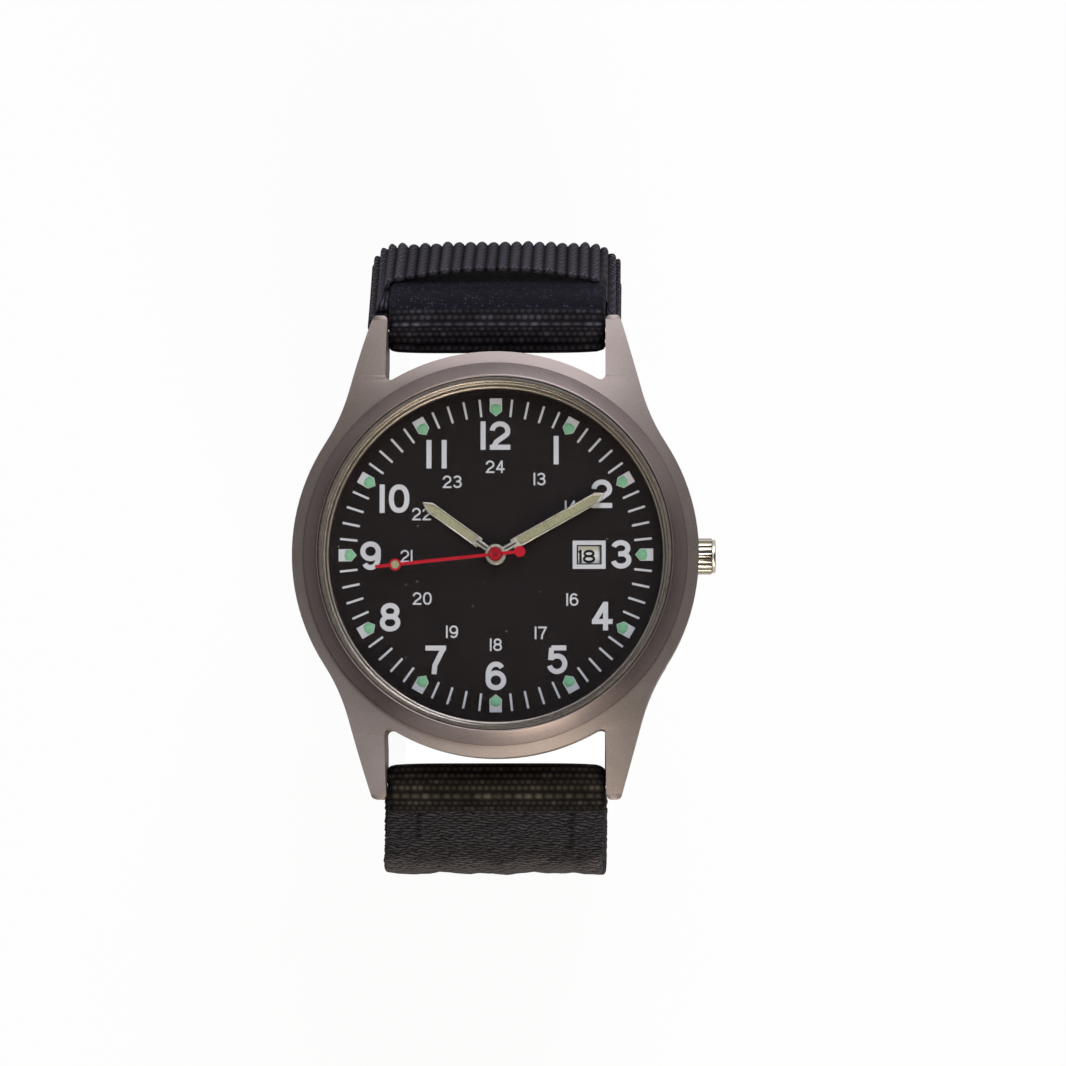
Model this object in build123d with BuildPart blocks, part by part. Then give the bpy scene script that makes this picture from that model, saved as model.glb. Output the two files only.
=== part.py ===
from build123d import *
import os
from math import acos, asin, atan2, cos, degrees, hypot, radians, sin, sqrt, tan

os.makedirs("parts", exist_ok=True)

# A field watch standing on its closed nylon strap, in millimetres.
# The dial faces +Z, 12 o'clock points along +Y and the crown along +X.
# The origin is on the dial's axis, at the flat underside of the strap.

# Fits
press_gap = 0.02
running_gap = 0.05
overrun = 1.0

# Detail of hidden rounds
stub_sides = 12
hidden_sides = 24

# Case middle
back_z = 46.0
case_radius = 20.3
case_wall = 2.9
case_height = 7.0
case_lift = 0.5
case_foot_inset = 1.3
case_foot_height = 1.7

# Lugs, and the bars between them
lug_gap = 22.0
lug_end = 1.45
lug_flank_angle = 15.6
lug_blend_radius = 19.3
lug_blend_angle = 33.0
lug_root_radius = 0.5
lug_tip_corner = 0.5
lug_slope_length = 7.85
lug_drop_radius = 11.0
lug_foot_drop = 0.3
lug_foot_length = 6.15
lug_nose_radius = 1.2

# Case back
back_ledge = 0.5
back_thickness = 0.8
back_recess_gap = 0.12
opening_notch_width = 4.0
opening_notch_depth = 0.5

# Bezel, crystal and rehaut
bezel_inset = 1.15
bezel_seat = 0.2
bezel_height = 1.7
bezel_side_height = 0.45
gasket_width = 0.4
crystal_thickness = 1.85
gasket_height = 1.6
rehaut_height = 1.7
rehaut_bottom_width = 0.6
rehaut_top_width = 0.25

# Dial
dial_gap = 0.1
dial_thickness = 0.4
dial_hole_radius = 0.85
date_window_margin = 8.0
date_window_width = 2.5
date_window_height = 1.95
pip_count = 12
pip_margin = 1.6
pip_length = 1.8
pip_width = 1.23
pip_point = 0.5
pip_height = 0.15

# Hands: clock angles in degrees from 12 o'clock, lengths from the dial's axis
hour_clock_angle = 305.8
minute_clock_angle = 60.8
seconds_clock_angle = 264.1
hour_hand_z_above_dial = 0.3
hand_spacing = 0.45
hand_thickness = 0.15
hub_height = 0.3
hand_width = 1.1
hand_neck_width = 0.6
hand_neck_reach = 1.95
hand_slot_width = 0.8
hand_slot_start = 2.65
hand_slot_margin = 0.4
hour_hand_margin = 8.25
minute_hand_margin = 4.8
hand_point = 0.9
hour_hub_radius = 1.05
minute_hub_radius = 1.0
seconds_hub_radius = 0.7
seconds_hand_margin = 5.25
seconds_hand_width = 0.32
seconds_tail_reach = 2.46
seconds_tail_radius = 0.55
seconds_dot_margin = 2.01
seconds_dot_radius = 0.6
seconds_lume_radius = 0.42

# Spring bars
bar_height = 1.6
bar_tube_radius = 0.9
bar_tube_end_gap = 0.4
pin_radius = 0.45
pin_length = 4.5
pin_depth = 1.1
pin_hole_end_gap = 0.1
pin_travel = 1.1

# Strap
strap_side_gap = 0.1
strap_thickness = 2.4
eye_radius = 2.35
eye_gap = 0.08
eye_case_gap = 0.25
join_reach = 4.2
join_depth = 0.3
long_leave_angle = 12.0
long_wall_offset = 7.8
long_shoulder_radius = 2.2
foot_radius = 18.5
overlap_reach = 12.0
short_knee_reach = 2.3
short_knee_radius = 3.0
short_wall_offset = 10.4
short_shoulder_drop = 18.2
short_shoulder_radius = 20.0
patch_thickness = 0.5
patch_gap = 0.15
patch_margin = 1.4
keeper_side_gap = 1.3
keeper_depth_gap = 0.6
keeper_length = 9.0
keeper_wall = 0.9
keeper_crown = 1.3
keeper_crown_lift = 0.6
keeper_corner_radius = 2.0
keeper_start = 4.3

# Crown, stem and pendant tube
crown_drop = 0.3
crown_radius = 1.83
crown_flutes = 18
crown_flute_depth = 0.14
crown_flute_top_share = 0.72
crown_stand_out = 1.7
crown_length = 2.4
crown_collar_length = 0.35
crown_collar_radius = 1.68
crown_cavity_radius = 1.42
crown_end_wall = 0.5
crown_recess_gap = 0.12
crown_recess_depth = 0.8
crown_boss_depth = 0.3
tube_radius = 1.0
tube_bore_radius = 0.6
tube_stand_out = 0.8
tube_seat_gap = 0.2
crown_gasket_inset = 0.15
crown_gasket_length = 0.4
stem_radius = 0.5
stem_square = 0.7
stem_square_gap = 0.05
stem_start = 6.9
stem_square_end = 9.0
stem_groove_middle = 10.4
stem_groove_width = 0.4
stem_groove_radius = 0.28

# Movement ring and main plate
ring_bottom_lift = 2.1
ring_gap = 0.1
stem_hole_gap = 0.2
plate_radius = 12.9
plate_thickness = 1.4
pocket_radius = 7.85
pocket_depth = 0.75
channel_gap = 0.1
channel_start = 6.4

# Dial side of the movement
guard_thickness = 0.1
guard_radius = 8.45
guard_hole_radius = 1.3
layer_gap = 0.03
disc_thickness = 0.2
disc_lift = 0.14
disc_radius = 10.9
disc_tooth_tip_radius = 8.0
disc_tooth_depth = 0.35
disc_teeth = 31

# Wheels: tooth counts, centre distances and directions in degrees from the crown's side
wheel_thickness = 0.15
tooth_top_share = 0.8
tooth_root_share = 1.2
rotor_leaves = 6
step_teeth = 36
step_leaves = 6
seconds_teeth = 30
seconds_leaves = 6
third_teeth = 45
third_leaves = 6
center_teeth = 48
cannon_teeth = 12
minute_teeth = 36
minute_leaves = 10
hour_teeth = 40
setting_teeth = 24
hour_date_teeth = 16
date_teeth = 32
third_distance = 2.7
third_direction = 75.0
step_distance = 2.88
step_direction = -75.0
rotor_distance = 2.1
rotor_direction = -100.0
minute_distance = 2.4
setting_distance = 3.0
date_distance = 4.2
date_direction = 150.0
arbor_radius = 0.12
seconds_arbor_radius = 0.1
center_bore_radius = 0.16
center_tube_radius = 0.28
cannon_tube_radius = 0.4
cannon_bore_radius = 0.3
hour_tube_radius = 0.65
hour_bore_radius = 0.45
post_radius = 0.2
pivot_depth = 0.25
finger_length = 4.0
finger_width = 0.4
magnet_radius = 0.9
step_pinion_height = 0.25
third_lift = 0.2
date_train_lift = 0.07
minute_wheel_lift = 0.1
hour_wheel_lift = 0.45

# Bridge, screws and what hangs below the main plate
bridge_thickness = 0.3
bridge_screw_places = [(-0.6, 6.4), (3.4, -5.2)]
bridge_margin = 1.1
pillar_radius = 0.8
screw_radius = 0.3
screw_head_radius = 0.6
screw_head_height = 0.2
screw_bite = 0.5
battery_place = (-7.44, 2.0)
battery_radius = 4.75
battery_thickness = 1.6
clamp_screw_place = (-1.6, 9.6)
clamp_width = 2.0
clamp_thickness = 0.13
board_thickness = 0.25
board_left = -3.8
board_right = 9.4
board_bottom = -8.2
board_top = -1.7
board_corner = 3.4
quartz_radius = 0.5
quartz_start = 5.3
quartz_length = 4.2
quartz_y = -2.9
stator_thickness = 0.23
stator_half_width = 5.6
stator_top_y = -3.6
stator_throat_y = -6.3
stator_leg_width = 1.4
stator_foot_y = -10.2
rotor_hole_gap = 0.15
coil_y = -9.5
coil_radius = 0.85
coil_half_length = 4.0
core_width = 0.9
core_thickness = 0.5
jumper_post_reach = 5.6
jumper_direction = -60.0
jumper_nose_direction = -42.0
jumper_post_radius = 0.45
jumper_arm_width = 0.5
jumper_nose_gap = 0.07
clutch_start = 7.0
clutch_tooth_length = 0.4
clutch_length = 1.2
clutch_radius = 1.1
clutch_teeth = 12
clutch_tooth_depth = 0.25
clutch_neck_radius = 0.75
clutch_neck_length = 0.35
clutch_window_gap = 0.15
lever_radius = 1.95
lever_thickness = 0.15
lever_lift = 0.1
lever_stud_radius = 0.3
lever_eye_radius = 0.7
lever_pin_radius = 0.12
lever_tip_radius = 0.3
lever_pin_gap = 0.05
crown_travel = 0.8
lever_tail_reach = 1.6

# Radii and reaches worked out from the sizes above
cavity_radius = case_radius - case_wall
back_radius = cavity_radius + back_ledge
bezel_radius = case_radius - bezel_inset
bezel_bore_radius = cavity_radius + bezel_seat
crystal_radius = bezel_bore_radius - gasket_width
rehaut_outer_radius = cavity_radius - running_gap
dial_radius = cavity_radius - dial_gap
date_window_reach = dial_radius - date_window_margin
pip_outer_radius = dial_radius - pip_margin
pip_inner_radius = pip_outer_radius - pip_length
hour_hand_length = dial_radius - hour_hand_margin
minute_hand_length = dial_radius - minute_hand_margin
seconds_hand_length = dial_radius - seconds_hand_margin
seconds_dot_reach = seconds_hand_length - seconds_dot_margin
bar_reach = case_radius + eye_case_gap + eye_radius
lug_reach = bar_reach + lug_end
lug_flat_reach = lug_reach - lug_slope_length
lug_foot_reach = lug_reach - lug_foot_length
strap_width = lug_gap - 2 * strap_side_gap
long_wall_reach = bar_reach + long_wall_offset
short_wall_reach = bar_reach + short_wall_offset
crown_end = case_radius + crown_stand_out
crown_start = crown_end - crown_length
crown_flute_end = crown_end - crown_collar_length
crown_cavity_end = crown_end - crown_end_wall
tube_end = case_radius + tube_stand_out

# Heights worked out from the sizes above
case_base_z = back_z + case_lift
case_top_z = back_z + case_height
lug_foot_z = back_z - lug_foot_drop
ledge_z = back_z + back_thickness
dial_top_z = case_top_z - rehaut_height
dial_bottom_z = dial_top_z - dial_thickness
guard_z = dial_bottom_z - layer_gap - guard_thickness
disc_z = guard_z - layer_gap - disc_thickness
plate_top_z = disc_z - disc_lift
plate_z = plate_top_z - plate_thickness
pocket_z = plate_top_z - pocket_depth
center_wheel_z = plate_z - running_gap - wheel_thickness
third_wheel_z = center_wheel_z - third_lift - wheel_thickness
seconds_wheel_z = third_wheel_z - running_gap - wheel_thickness
bridge_top_z = seconds_wheel_z - running_gap
bridge_z = bridge_top_z - bridge_thickness
step_wheel_z = seconds_wheel_z + step_pinion_height
board_z = bridge_z - running_gap - board_thickness
battery_z = plate_z - running_gap - battery_thickness
clamp_z = battery_z - press_gap - clamp_thickness
minute_wheel_z = pocket_z + minute_wheel_lift
hour_wheel_z = pocket_z + hour_wheel_lift
date_train_z = hour_wheel_z + wheel_thickness + date_train_lift
stem_z = plate_z - crown_drop
bar_z = back_z + bar_height
hour_hand_z = dial_top_z + hour_hand_z_above_dial
minute_hand_z = hour_hand_z + hand_spacing
seconds_hand_z = minute_hand_z + hand_spacing


def polar(radius, angle, centre=(0, 0)):
    """A place in plan at a distance and direction from a centre."""
    return (centre[0] + radius * cos(radians(angle)), centre[1] + radius * sin(radians(angle)))


def pitch_radius(distance, teeth, mate_teeth):
    """Pitch radius of a wheel that meshes with its mate over a centre distance."""
    return distance * teeth / (teeth + mate_teeth)


def mating_turn(turn, teeth, toward, mate_teeth):
    """Direction of a mate's first tooth when its teeth fall into this wheel's gaps."""
    tooth_phase = (turn - toward) * teeth / 360
    return toward + 180 + (0.5 - tooth_phase) * 360 / mate_teeth


def outline(plane, points):
    """A closed straight-edged profile."""
    with BuildSketch(plane) as profile:
        with BuildLine():
            Polyline(*points, close=True)
        make_face()
    return profile.sketch


def disc(place, radius, z):
    """A round profile lying flat at a height."""
    with BuildSketch(Plane.XY.offset(z)) as profile:
        with Locations(place):
            Circle(radius)
    return profile.sketch


def stub(place, radius, z, sides=stub_sides):
    """A hidden round lying flat at a height, drawn with few sides."""
    with BuildSketch(Plane.XY.offset(z)) as profile:
        with Locations(place):
            RegularPolygon(radius, sides)
    return profile.sketch


def star(plane, centre, teeth, tip, root, turn=0.0):
    """A wheel's outline with pointed teeth, the first one pointing along turn."""
    pitch = 360 / teeth
    points = []
    for tooth in range(teeth):
        middle = turn + tooth * pitch
        points.append(polar(root, middle - pitch / 2, centre))
        points.append(polar(tip, middle, centre))
    return outline(plane, points)


def gear(centre, teeth, pitch, z, turn):
    """A spur wheel's outline at a height, from its tooth count and pitch radius."""
    module = 2 * pitch / teeth
    tip = pitch + tooth_top_share * module
    root = pitch - tooth_root_share * module
    return star(Plane.XY.offset(z), centre, teeth, tip, root, turn)


def across(x, y, z):
    """A plane square to the crown's axis."""
    return Plane(origin=(x, y, z), x_dir=(0, 1, 0), z_dir=(1, 0, 0))


def round_bar(x, y, z, radius):
    """A round profile square to the crown's axis."""
    with BuildSketch(across(x, y, z)) as profile:
        Circle(radius)
    return profile.sketch


def bar_stub(x, y, z, radius):
    """A hidden round square to the crown's axis, drawn with few sides."""
    with BuildSketch(across(x, y, z)) as profile:
        RegularPolygon(radius, stub_sides)
    return profile.sketch


def save(piece, name):
    """Labels a finished piece and writes it under its own name."""
    piece.label = name
    export_step(piece, f"parts/{name}.step")


# Case middle: lugs from their plan and side outlines, a turned body, then the bores
root_y = sqrt((case_radius + lug_root_radius) ** 2 - (lug_gap / 2 - lug_root_radius) ** 2)
root_share = case_radius / (case_radius + lug_root_radius)
root_on_body = ((lug_gap / 2 - lug_root_radius) * root_share, root_y * root_share)
blend_start = polar(case_radius, lug_blend_angle)
blend_heading = 90 + lug_blend_angle
flank_heading = 90 + lug_flank_angle

with BuildSketch(Plane.XY.offset(lug_foot_z)) as lug_plan:
    with BuildLine():
        blend = JernArc(
            start=blend_start,
            tangent=polar(1, blend_heading),
            radius=lug_blend_radius,
            arc_size=flank_heading - blend_heading,
        )
        tip_x = (blend @ 1).X - (lug_reach - (blend @ 1).Y) * tan(radians(lug_flank_angle))
        Polyline(blend @ 1, (tip_x, lug_reach), (lug_gap / 2, lug_reach), (lug_gap / 2, root_y))
        RadiusArc((lug_gap / 2, root_y), root_on_body, lug_root_radius)
        Line(root_on_body, blend_start)
    make_face()
    tip_corners = lug_plan.vertices().group_by(Axis.Y)[-1]
    fillet(tip_corners, lug_tip_corner)
    mirror(about=Plane.YZ)
    mirror(about=Plane.XZ)

with BuildSketch(Plane.YZ.offset(-lug_reach)) as lug_side:
    with BuildLine():
        Line((0, case_top_z), (lug_flat_reach, case_top_z))
        brow = JernArc(
            start=(lug_flat_reach, case_top_z),
            tangent=(1, 0),
            radius=lug_drop_radius,
            arc_size=-degrees(asin((lug_reach - lug_flat_reach) / lug_drop_radius)),
        )
        Polyline(
            brow @ 1,
            (lug_reach, lug_foot_z),
            (lug_foot_reach + lug_nose_radius, lug_foot_z),
            (lug_foot_reach, case_base_z),
            (0, case_base_z),
            (0, case_top_z),
        )
    make_face()
    nose_corners = lug_side.vertices().group_by(Axis.X)[-1]
    fillet(nose_corners.sort_by(Axis.Y)[0], lug_nose_radius)
    mirror(about=Plane.YZ)

with BuildPart() as case_middle:
    extrude(lug_plan.sketch, amount=case_top_z - lug_foot_z)
    extrude(lug_side.sketch, amount=2 * lug_reach, mode=Mode.INTERSECT)
    body_profile = [
        (0, case_base_z),
        (case_radius - case_foot_inset, case_base_z),
        (case_radius, case_base_z + case_foot_height),
        (case_radius, case_top_z),
        (0, case_top_z),
    ]
    revolve(outline(Plane.XZ, body_profile), axis=Axis.Z)
    recess_radius = back_radius + back_recess_gap
    bore_profile = [
        (0, back_z - overrun),
        (recess_radius, back_z - overrun),
        (recess_radius, ledge_z),
        (cavity_radius, ledge_z),
        (cavity_radius, case_top_z + overrun),
        (0, case_top_z + overrun),
    ]
    revolve(outline(Plane.XZ, bore_profile), axis=Axis.Z, mode=Mode.SUBTRACT)
    hole_depth = pin_depth + pin_hole_end_gap
    for side in (-1, 1):
        hole = bar_stub(
            -lug_gap / 2 - hole_depth,
            side * bar_reach,
            bar_z,
            pin_radius + running_gap,
        )
        extrude(hole, amount=lug_gap + 2 * hole_depth, mode=Mode.SUBTRACT)
    extrude(
        bar_stub(0, 0, stem_z, tube_radius + press_gap),
        amount=case_radius + overrun,
        mode=Mode.SUBTRACT,
    )
    extrude(
        round_bar(case_radius - crown_recess_depth, 0, stem_z, crown_radius + crown_recess_gap),
        amount=crown_recess_depth + overrun,
        mode=Mode.SUBTRACT,
    )
save(case_middle.part, "case_middle")

# Case back: a flat lid with a notch for the opening knife
with BuildPart() as case_back:
    extrude(disc((0, 0), back_radius, back_z), amount=back_thickness)
    with BuildSketch(Plane.XY.offset(back_z)):
        with Locations((0, -back_radius)):
            Rectangle(opening_notch_width, 2 * opening_notch_depth)
    extrude(amount=case_lift, mode=Mode.SUBTRACT)
save(case_back.part, "case_back")

# Bezel, crystal, gasket and rehaut
with BuildPart() as bezel:
    bezel_profile = [
        (bezel_bore_radius, case_top_z),
        (bezel_radius, case_top_z),
        (bezel_radius, case_top_z + bezel_side_height),
        (bezel_bore_radius, case_top_z + bezel_height),
    ]
    revolve(outline(Plane.XZ, bezel_profile), axis=Axis.Z)
save(bezel.part, "bezel")

with BuildPart() as crystal:
    extrude(disc((0, 0), crystal_radius, case_top_z), amount=crystal_thickness)
save(crystal.part, "crystal")

with BuildPart() as crystal_gasket:
    seal_profile = [
        (crystal_radius + press_gap, case_top_z),
        (bezel_bore_radius - press_gap, case_top_z),
        (bezel_bore_radius - press_gap, case_top_z + gasket_height),
        (crystal_radius + press_gap, case_top_z + gasket_height),
    ]
    revolve(outline(Plane.XZ, seal_profile), axis=Axis.Z)
save(crystal_gasket.part, "crystal_gasket")

with BuildPart() as rehaut_ring:
    rehaut_profile = [
        (rehaut_outer_radius - rehaut_bottom_width, dial_top_z),
        (rehaut_outer_radius, dial_top_z),
        (rehaut_outer_radius, case_top_z),
        (rehaut_outer_radius - rehaut_top_width, case_top_z),
    ]
    revolve(outline(Plane.XZ, rehaut_profile), axis=Axis.Z)
save(rehaut_ring.part, "rehaut_ring")

# Dial with its hand hole and date window, and the raised hour marks
with BuildPart() as dial:
    with BuildSketch(Plane.XY.offset(dial_bottom_z)):
        Circle(dial_radius)
        Circle(dial_hole_radius, mode=Mode.SUBTRACT)
        with Locations((date_window_reach, 0)):
            Rectangle(date_window_width, date_window_height, mode=Mode.SUBTRACT)
    extrude(amount=dial_thickness)
save(dial.part, "dial")

with BuildPart() as hour_pips:
    with BuildSketch(Plane.XY.offset(dial_top_z)):
        with PolarLocations(0, pip_count):
            Polygon(
                (pip_inner_radius, 0),
                (pip_inner_radius + pip_point, -pip_width / 2),
                (pip_outer_radius, -pip_width / 2),
                (pip_outer_radius, pip_width / 2),
                (pip_inner_radius + pip_point, pip_width / 2),
                align=None,
            )
    extrude(amount=pip_height)
save(hour_pips.part, "hour_pips")


# Hands: batons with a neck, a hub and a luminous insert in the slot
def hand_plane(clock_angle, z):
    """A flat plane whose x axis points along a hand."""
    direction = polar(1, 90 - clock_angle)
    return Plane(origin=(0, 0, z), x_dir=(direction[0], direction[1], 0), z_dir=(0, 0, 1))


def baton_points(start, end, width):
    """A bar that ends in a point."""
    return [
        (start, -width / 2),
        (end - hand_point, -width / 2),
        (end, 0),
        (end - hand_point, width / 2),
        (start, width / 2),
    ]


def baton_hand(name, clock_angle, z, length, hub_radius, bore_radius):
    """A baton hand and the luminous insert that fills its slot."""
    plane = hand_plane(clock_angle, z)
    slot = baton_points(hand_slot_start, length - hand_slot_margin, hand_slot_width)
    slot_gap = press_gap
    insert = baton_points(
        hand_slot_start + slot_gap,
        length - hand_slot_margin - 2 * slot_gap,
        hand_slot_width - 2 * slot_gap,
    )
    with BuildPart() as hand:
        extrude(outline(plane, baton_points(hand_neck_reach, length, hand_width)), amount=hand_thickness)
        with BuildSketch(plane):
            with Locations((hand_neck_reach / 2, 0)):
                Rectangle(hand_neck_reach, hand_neck_width)
        extrude(amount=hand_thickness)
        extrude(disc((0, 0), hub_radius, z), amount=hub_height)
        extrude(outline(plane, slot), amount=hand_thickness, mode=Mode.SUBTRACT)
        extrude(disc((0, 0), bore_radius, z), amount=hub_height, mode=Mode.SUBTRACT)
    save(hand.part, name)
    with BuildPart() as lume:
        extrude(outline(plane, insert), amount=hand_thickness)
    save(lume.part, name + "_lume")


baton_hand(
    "hour_hand",
    hour_clock_angle,
    hour_hand_z,
    hour_hand_length,
    hour_hub_radius,
    hour_tube_radius + press_gap,
)
baton_hand(
    "minute_hand",
    minute_clock_angle,
    minute_hand_z,
    minute_hand_length,
    minute_hub_radius,
    cannon_tube_radius + press_gap,
)

seconds_plane = hand_plane(seconds_clock_angle, seconds_hand_z)
with BuildPart() as seconds_hand:
    with BuildSketch(seconds_plane):
        with Locations(((seconds_hand_length - seconds_tail_reach) / 2, 0)):
            Rectangle(seconds_hand_length + seconds_tail_reach, seconds_hand_width)
        with Locations((seconds_dot_reach, 0)):
            Circle(seconds_dot_radius)
            Circle(seconds_lume_radius, mode=Mode.SUBTRACT)
        with Locations((-seconds_tail_reach, 0)):
            Circle(seconds_tail_radius)
    extrude(amount=hand_thickness)
    extrude(disc((0, 0), seconds_hub_radius, seconds_hand_z), amount=hub_height)
save(seconds_hand.part, "seconds_hand")

with BuildPart() as seconds_hand_lume:
    with BuildSketch(seconds_plane):
        with Locations((seconds_dot_reach, 0)):
            Circle(seconds_lume_radius - press_gap)
    extrude(amount=hand_thickness)
save(seconds_hand_lume.part, "seconds_hand_lume")

# Spring bars: a tube across each lug gap, a sprung pin at each end, the spring between
tube_half = lug_gap / 2 - bar_tube_end_gap
pin_start = lug_gap / 2 + pin_depth - pin_length
spring_half = pin_start - pin_travel - running_gap


def bar_tube(name, y):
    """The tube of one spring bar."""
    with BuildPart() as tube:
        with BuildSketch(across(-tube_half, y, bar_z)):
            Circle(bar_tube_radius)
            Circle(pin_radius + running_gap, mode=Mode.SUBTRACT)
        extrude(amount=2 * tube_half)
    save(tube.part, name)


def bar_pin(name, side, y):
    """A sprung pin that reaches from inside the tube into the lug."""
    with BuildPart() as pin:
        extrude(bar_stub(side * pin_start, y, bar_z, pin_radius), amount=side * pin_length)
    save(pin.part, name)


for bar_name, bar_y in (("upper", bar_reach), ("lower", -bar_reach)):
    bar_tube(f"{bar_name}_bar_tube", bar_y)
    bar_pin(f"{bar_name}_bar_left_pin", -1, bar_y)
    bar_pin(f"{bar_name}_bar_right_pin", 1, bar_y)

with BuildPart() as bar_springs:
    for side in (-1, 1):
        spring = bar_stub(-spring_half, side * bar_reach, bar_z, pin_radius)
        extrude(spring, amount=2 * spring_half)
save(bar_springs.part, "bar_springs")

# Strap: each piece is webbing folded round its bar, then carried along its own route
strap_half = strap_thickness / 2
inner_layer_z = strap_thickness + 2 * patch_thickness + patch_gap + strap_half


def strap_start(side, slope_angle):
    """Where the mid-line leaves the eye, level with the eye's outer face."""
    lift = eye_radius - strap_half
    slope = radians(slope_angle)
    return (side * (bar_reach + lift * sin(slope)), bar_z + lift * cos(slope))


def inside_run(start, side, slope_angle):
    """The point inside a sloping run where the folded end lies against it."""
    slope = radians(slope_angle)
    depth = strap_half - join_depth
    return (
        start[0] + side * (join_reach * cos(slope) - depth * sin(slope)),
        start[1] - join_reach * sin(slope) - depth * cos(slope),
    )


def eye_underlay(side, join):
    """The webbing's return under the bar, from the eye's tangent to the joining point."""
    reach = hypot(join[0] - side * bar_reach, join[1] - bar_z)
    heading = degrees(atan2(join[1] - bar_z, join[0] - side * bar_reach))
    turn = degrees(acos(eye_radius / reach))
    tangent = polar(eye_radius, heading - side * turn, (side * bar_reach, bar_z))
    return outline(Plane.YZ.offset(-strap_width / 2), [(side * bar_reach, bar_z), tangent, join])


def strap_piece(name, side, points, radii, join):
    """A strap piece: the swept webbing with the eye and its bore."""
    with BuildPart() as strap:
        with BuildLine(Plane.YZ) as route:
            FilletPolyline(*points, radius=radii)
        path = route.line
        with BuildSketch(Plane(origin=path @ 0, x_dir=(1, 0, 0), z_dir=path % 0)):
            Rectangle(strap_width, strap_thickness)
        sweep()
        extrude(eye_underlay(side, join), amount=strap_width)
        extrude(
            round_bar(-strap_width / 2, side * bar_reach, bar_z, eye_radius),
            amount=strap_width,
        )
        extrude(
            round_bar(-strap_width / 2, side * bar_reach, bar_z, bar_tube_radius + eye_gap),
            amount=strap_width,
            mode=Mode.SUBTRACT,
        )
    save(strap.part, name)


long_start = strap_start(-1, long_leave_angle)
long_fall = (long_wall_reach + long_start[0]) * tan(radians(long_leave_angle))
long_points = [
    long_start,
    (-long_wall_reach, long_start[1] - long_fall),
    (-long_wall_reach, strap_half),
    (overlap_reach, strap_half),
]
long_join = inside_run(long_start, -1, long_leave_angle)
strap_piece("strap_long", -1, long_points, [long_shoulder_radius, foot_radius], long_join)

short_start = strap_start(1, 0)
knee = (short_start[0] + short_knee_reach, short_start[1])
short_slope_angle = degrees(atan2(short_shoulder_drop, short_wall_reach - knee[0]))
short_points = [
    short_start,
    knee,
    (short_wall_reach, knee[1] - short_shoulder_drop),
    (short_wall_reach, inner_layer_z),
    (-overlap_reach, inner_layer_z),
]
short_radii = [short_knee_radius, short_shoulder_radius, foot_radius]
slope_along = (cos(radians(short_slope_angle)), -sin(radians(short_slope_angle)))
short_join = inside_run(knee, 1, short_slope_angle)
strap_piece("strap_short", 1, short_points, short_radii, short_join)


def closure_patch(name, z):
    """A flat patch of the hook and pile closure."""
    with BuildPart() as patch:
        with BuildSketch(Plane.XY.offset(z)):
            Rectangle(strap_width - 2 * patch_margin, 2 * overlap_reach)
        extrude(amount=patch_thickness)
    save(patch.part, name)


closure_patch("pile_patch", strap_thickness)
closure_patch("hook_patch", inner_layer_z - strap_half - patch_thickness)

# Keeper: a webbing ring round the short piece, square to its slope and crowned on its outer face
def crowned_section(half_width, back, crown, corner_radius):
    """A rounded rectangle about the strap's section whose outer face is an arch."""
    with BuildSketch(keeper_plane) as section:
        with BuildLine():
            Polyline(
                (half_width, crown - keeper_crown),
                (half_width, back),
                (-half_width, back),
                (-half_width, crown - keeper_crown),
            )
            ThreePointArc((-half_width, crown - keeper_crown), (0, crown), (half_width, crown - keeper_crown))
        make_face()
        fillet(section.vertices(), corner_radius)
    return section.sketch


keeper_plane = Plane(
    origin=(
        0,
        knee[0] + keeper_start * slope_along[0],
        knee[1] + keeper_start * slope_along[1],
    ),
    x_dir=(-1, 0, 0),
    z_dir=(0, slope_along[0], slope_along[1]),
)
keeper_inner_half = strap_width / 2 + keeper_side_gap
keeper_inner_back = -strap_half - keeper_depth_gap
keeper_inner_crown = strap_half + keeper_depth_gap + keeper_crown_lift
with BuildPart() as strap_keeper:
    extrude(
        crowned_section(
            keeper_inner_half + keeper_wall,
            keeper_inner_back - keeper_wall,
            keeper_inner_crown + keeper_wall,
            keeper_corner_radius,
        ),
        amount=keeper_length,
    )
    extrude(
        crowned_section(
            keeper_inner_half,
            keeper_inner_back,
            keeper_inner_crown,
            keeper_corner_radius - keeper_wall,
        ),
        amount=keeper_length,
        mode=Mode.SUBTRACT,
    )
save(strap_keeper.part, "strap_keeper")

# Crown, its gasket, the pendant tube and the stem, all along the crown's axis
flute_pitch = 360 / crown_flutes
flute_outline = []
for flute in range(crown_flutes):
    middle = flute * flute_pitch
    half_land = crown_flute_top_share * flute_pitch / 2
    flute_outline.append(polar(crown_radius - crown_flute_depth, middle - flute_pitch / 2))
    flute_outline.append(polar(crown_radius, middle - half_land))
    flute_outline.append(polar(crown_radius, middle + half_land))

with BuildPart() as crown:
    extrude(
        outline(across(crown_start, 0, stem_z), flute_outline),
        amount=crown_flute_end - crown_start,
    )
    extrude(
        round_bar(crown_flute_end, 0, stem_z, crown_collar_radius),
        amount=crown_end - crown_flute_end,
    )
    extrude(
        bar_stub(crown_start, 0, stem_z, crown_cavity_radius),
        amount=crown_cavity_end - crown_start,
        mode=Mode.SUBTRACT,
    )
    extrude(
        bar_stub(crown_cavity_end, 0, stem_z, stem_radius + press_gap),
        amount=crown_boss_depth,
        mode=Mode.SUBTRACT,
    )
save(crown.part, "crown")

with BuildPart() as crown_gasket:
    with BuildSketch(across(crown_start + crown_gasket_inset, 0, stem_z)):
        RegularPolygon(crown_cavity_radius - press_gap, stub_sides)
        RegularPolygon(tube_radius + 2 * running_gap, stub_sides, mode=Mode.SUBTRACT)
    extrude(amount=crown_gasket_length)
save(crown_gasket.part, "crown_gasket")

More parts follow.
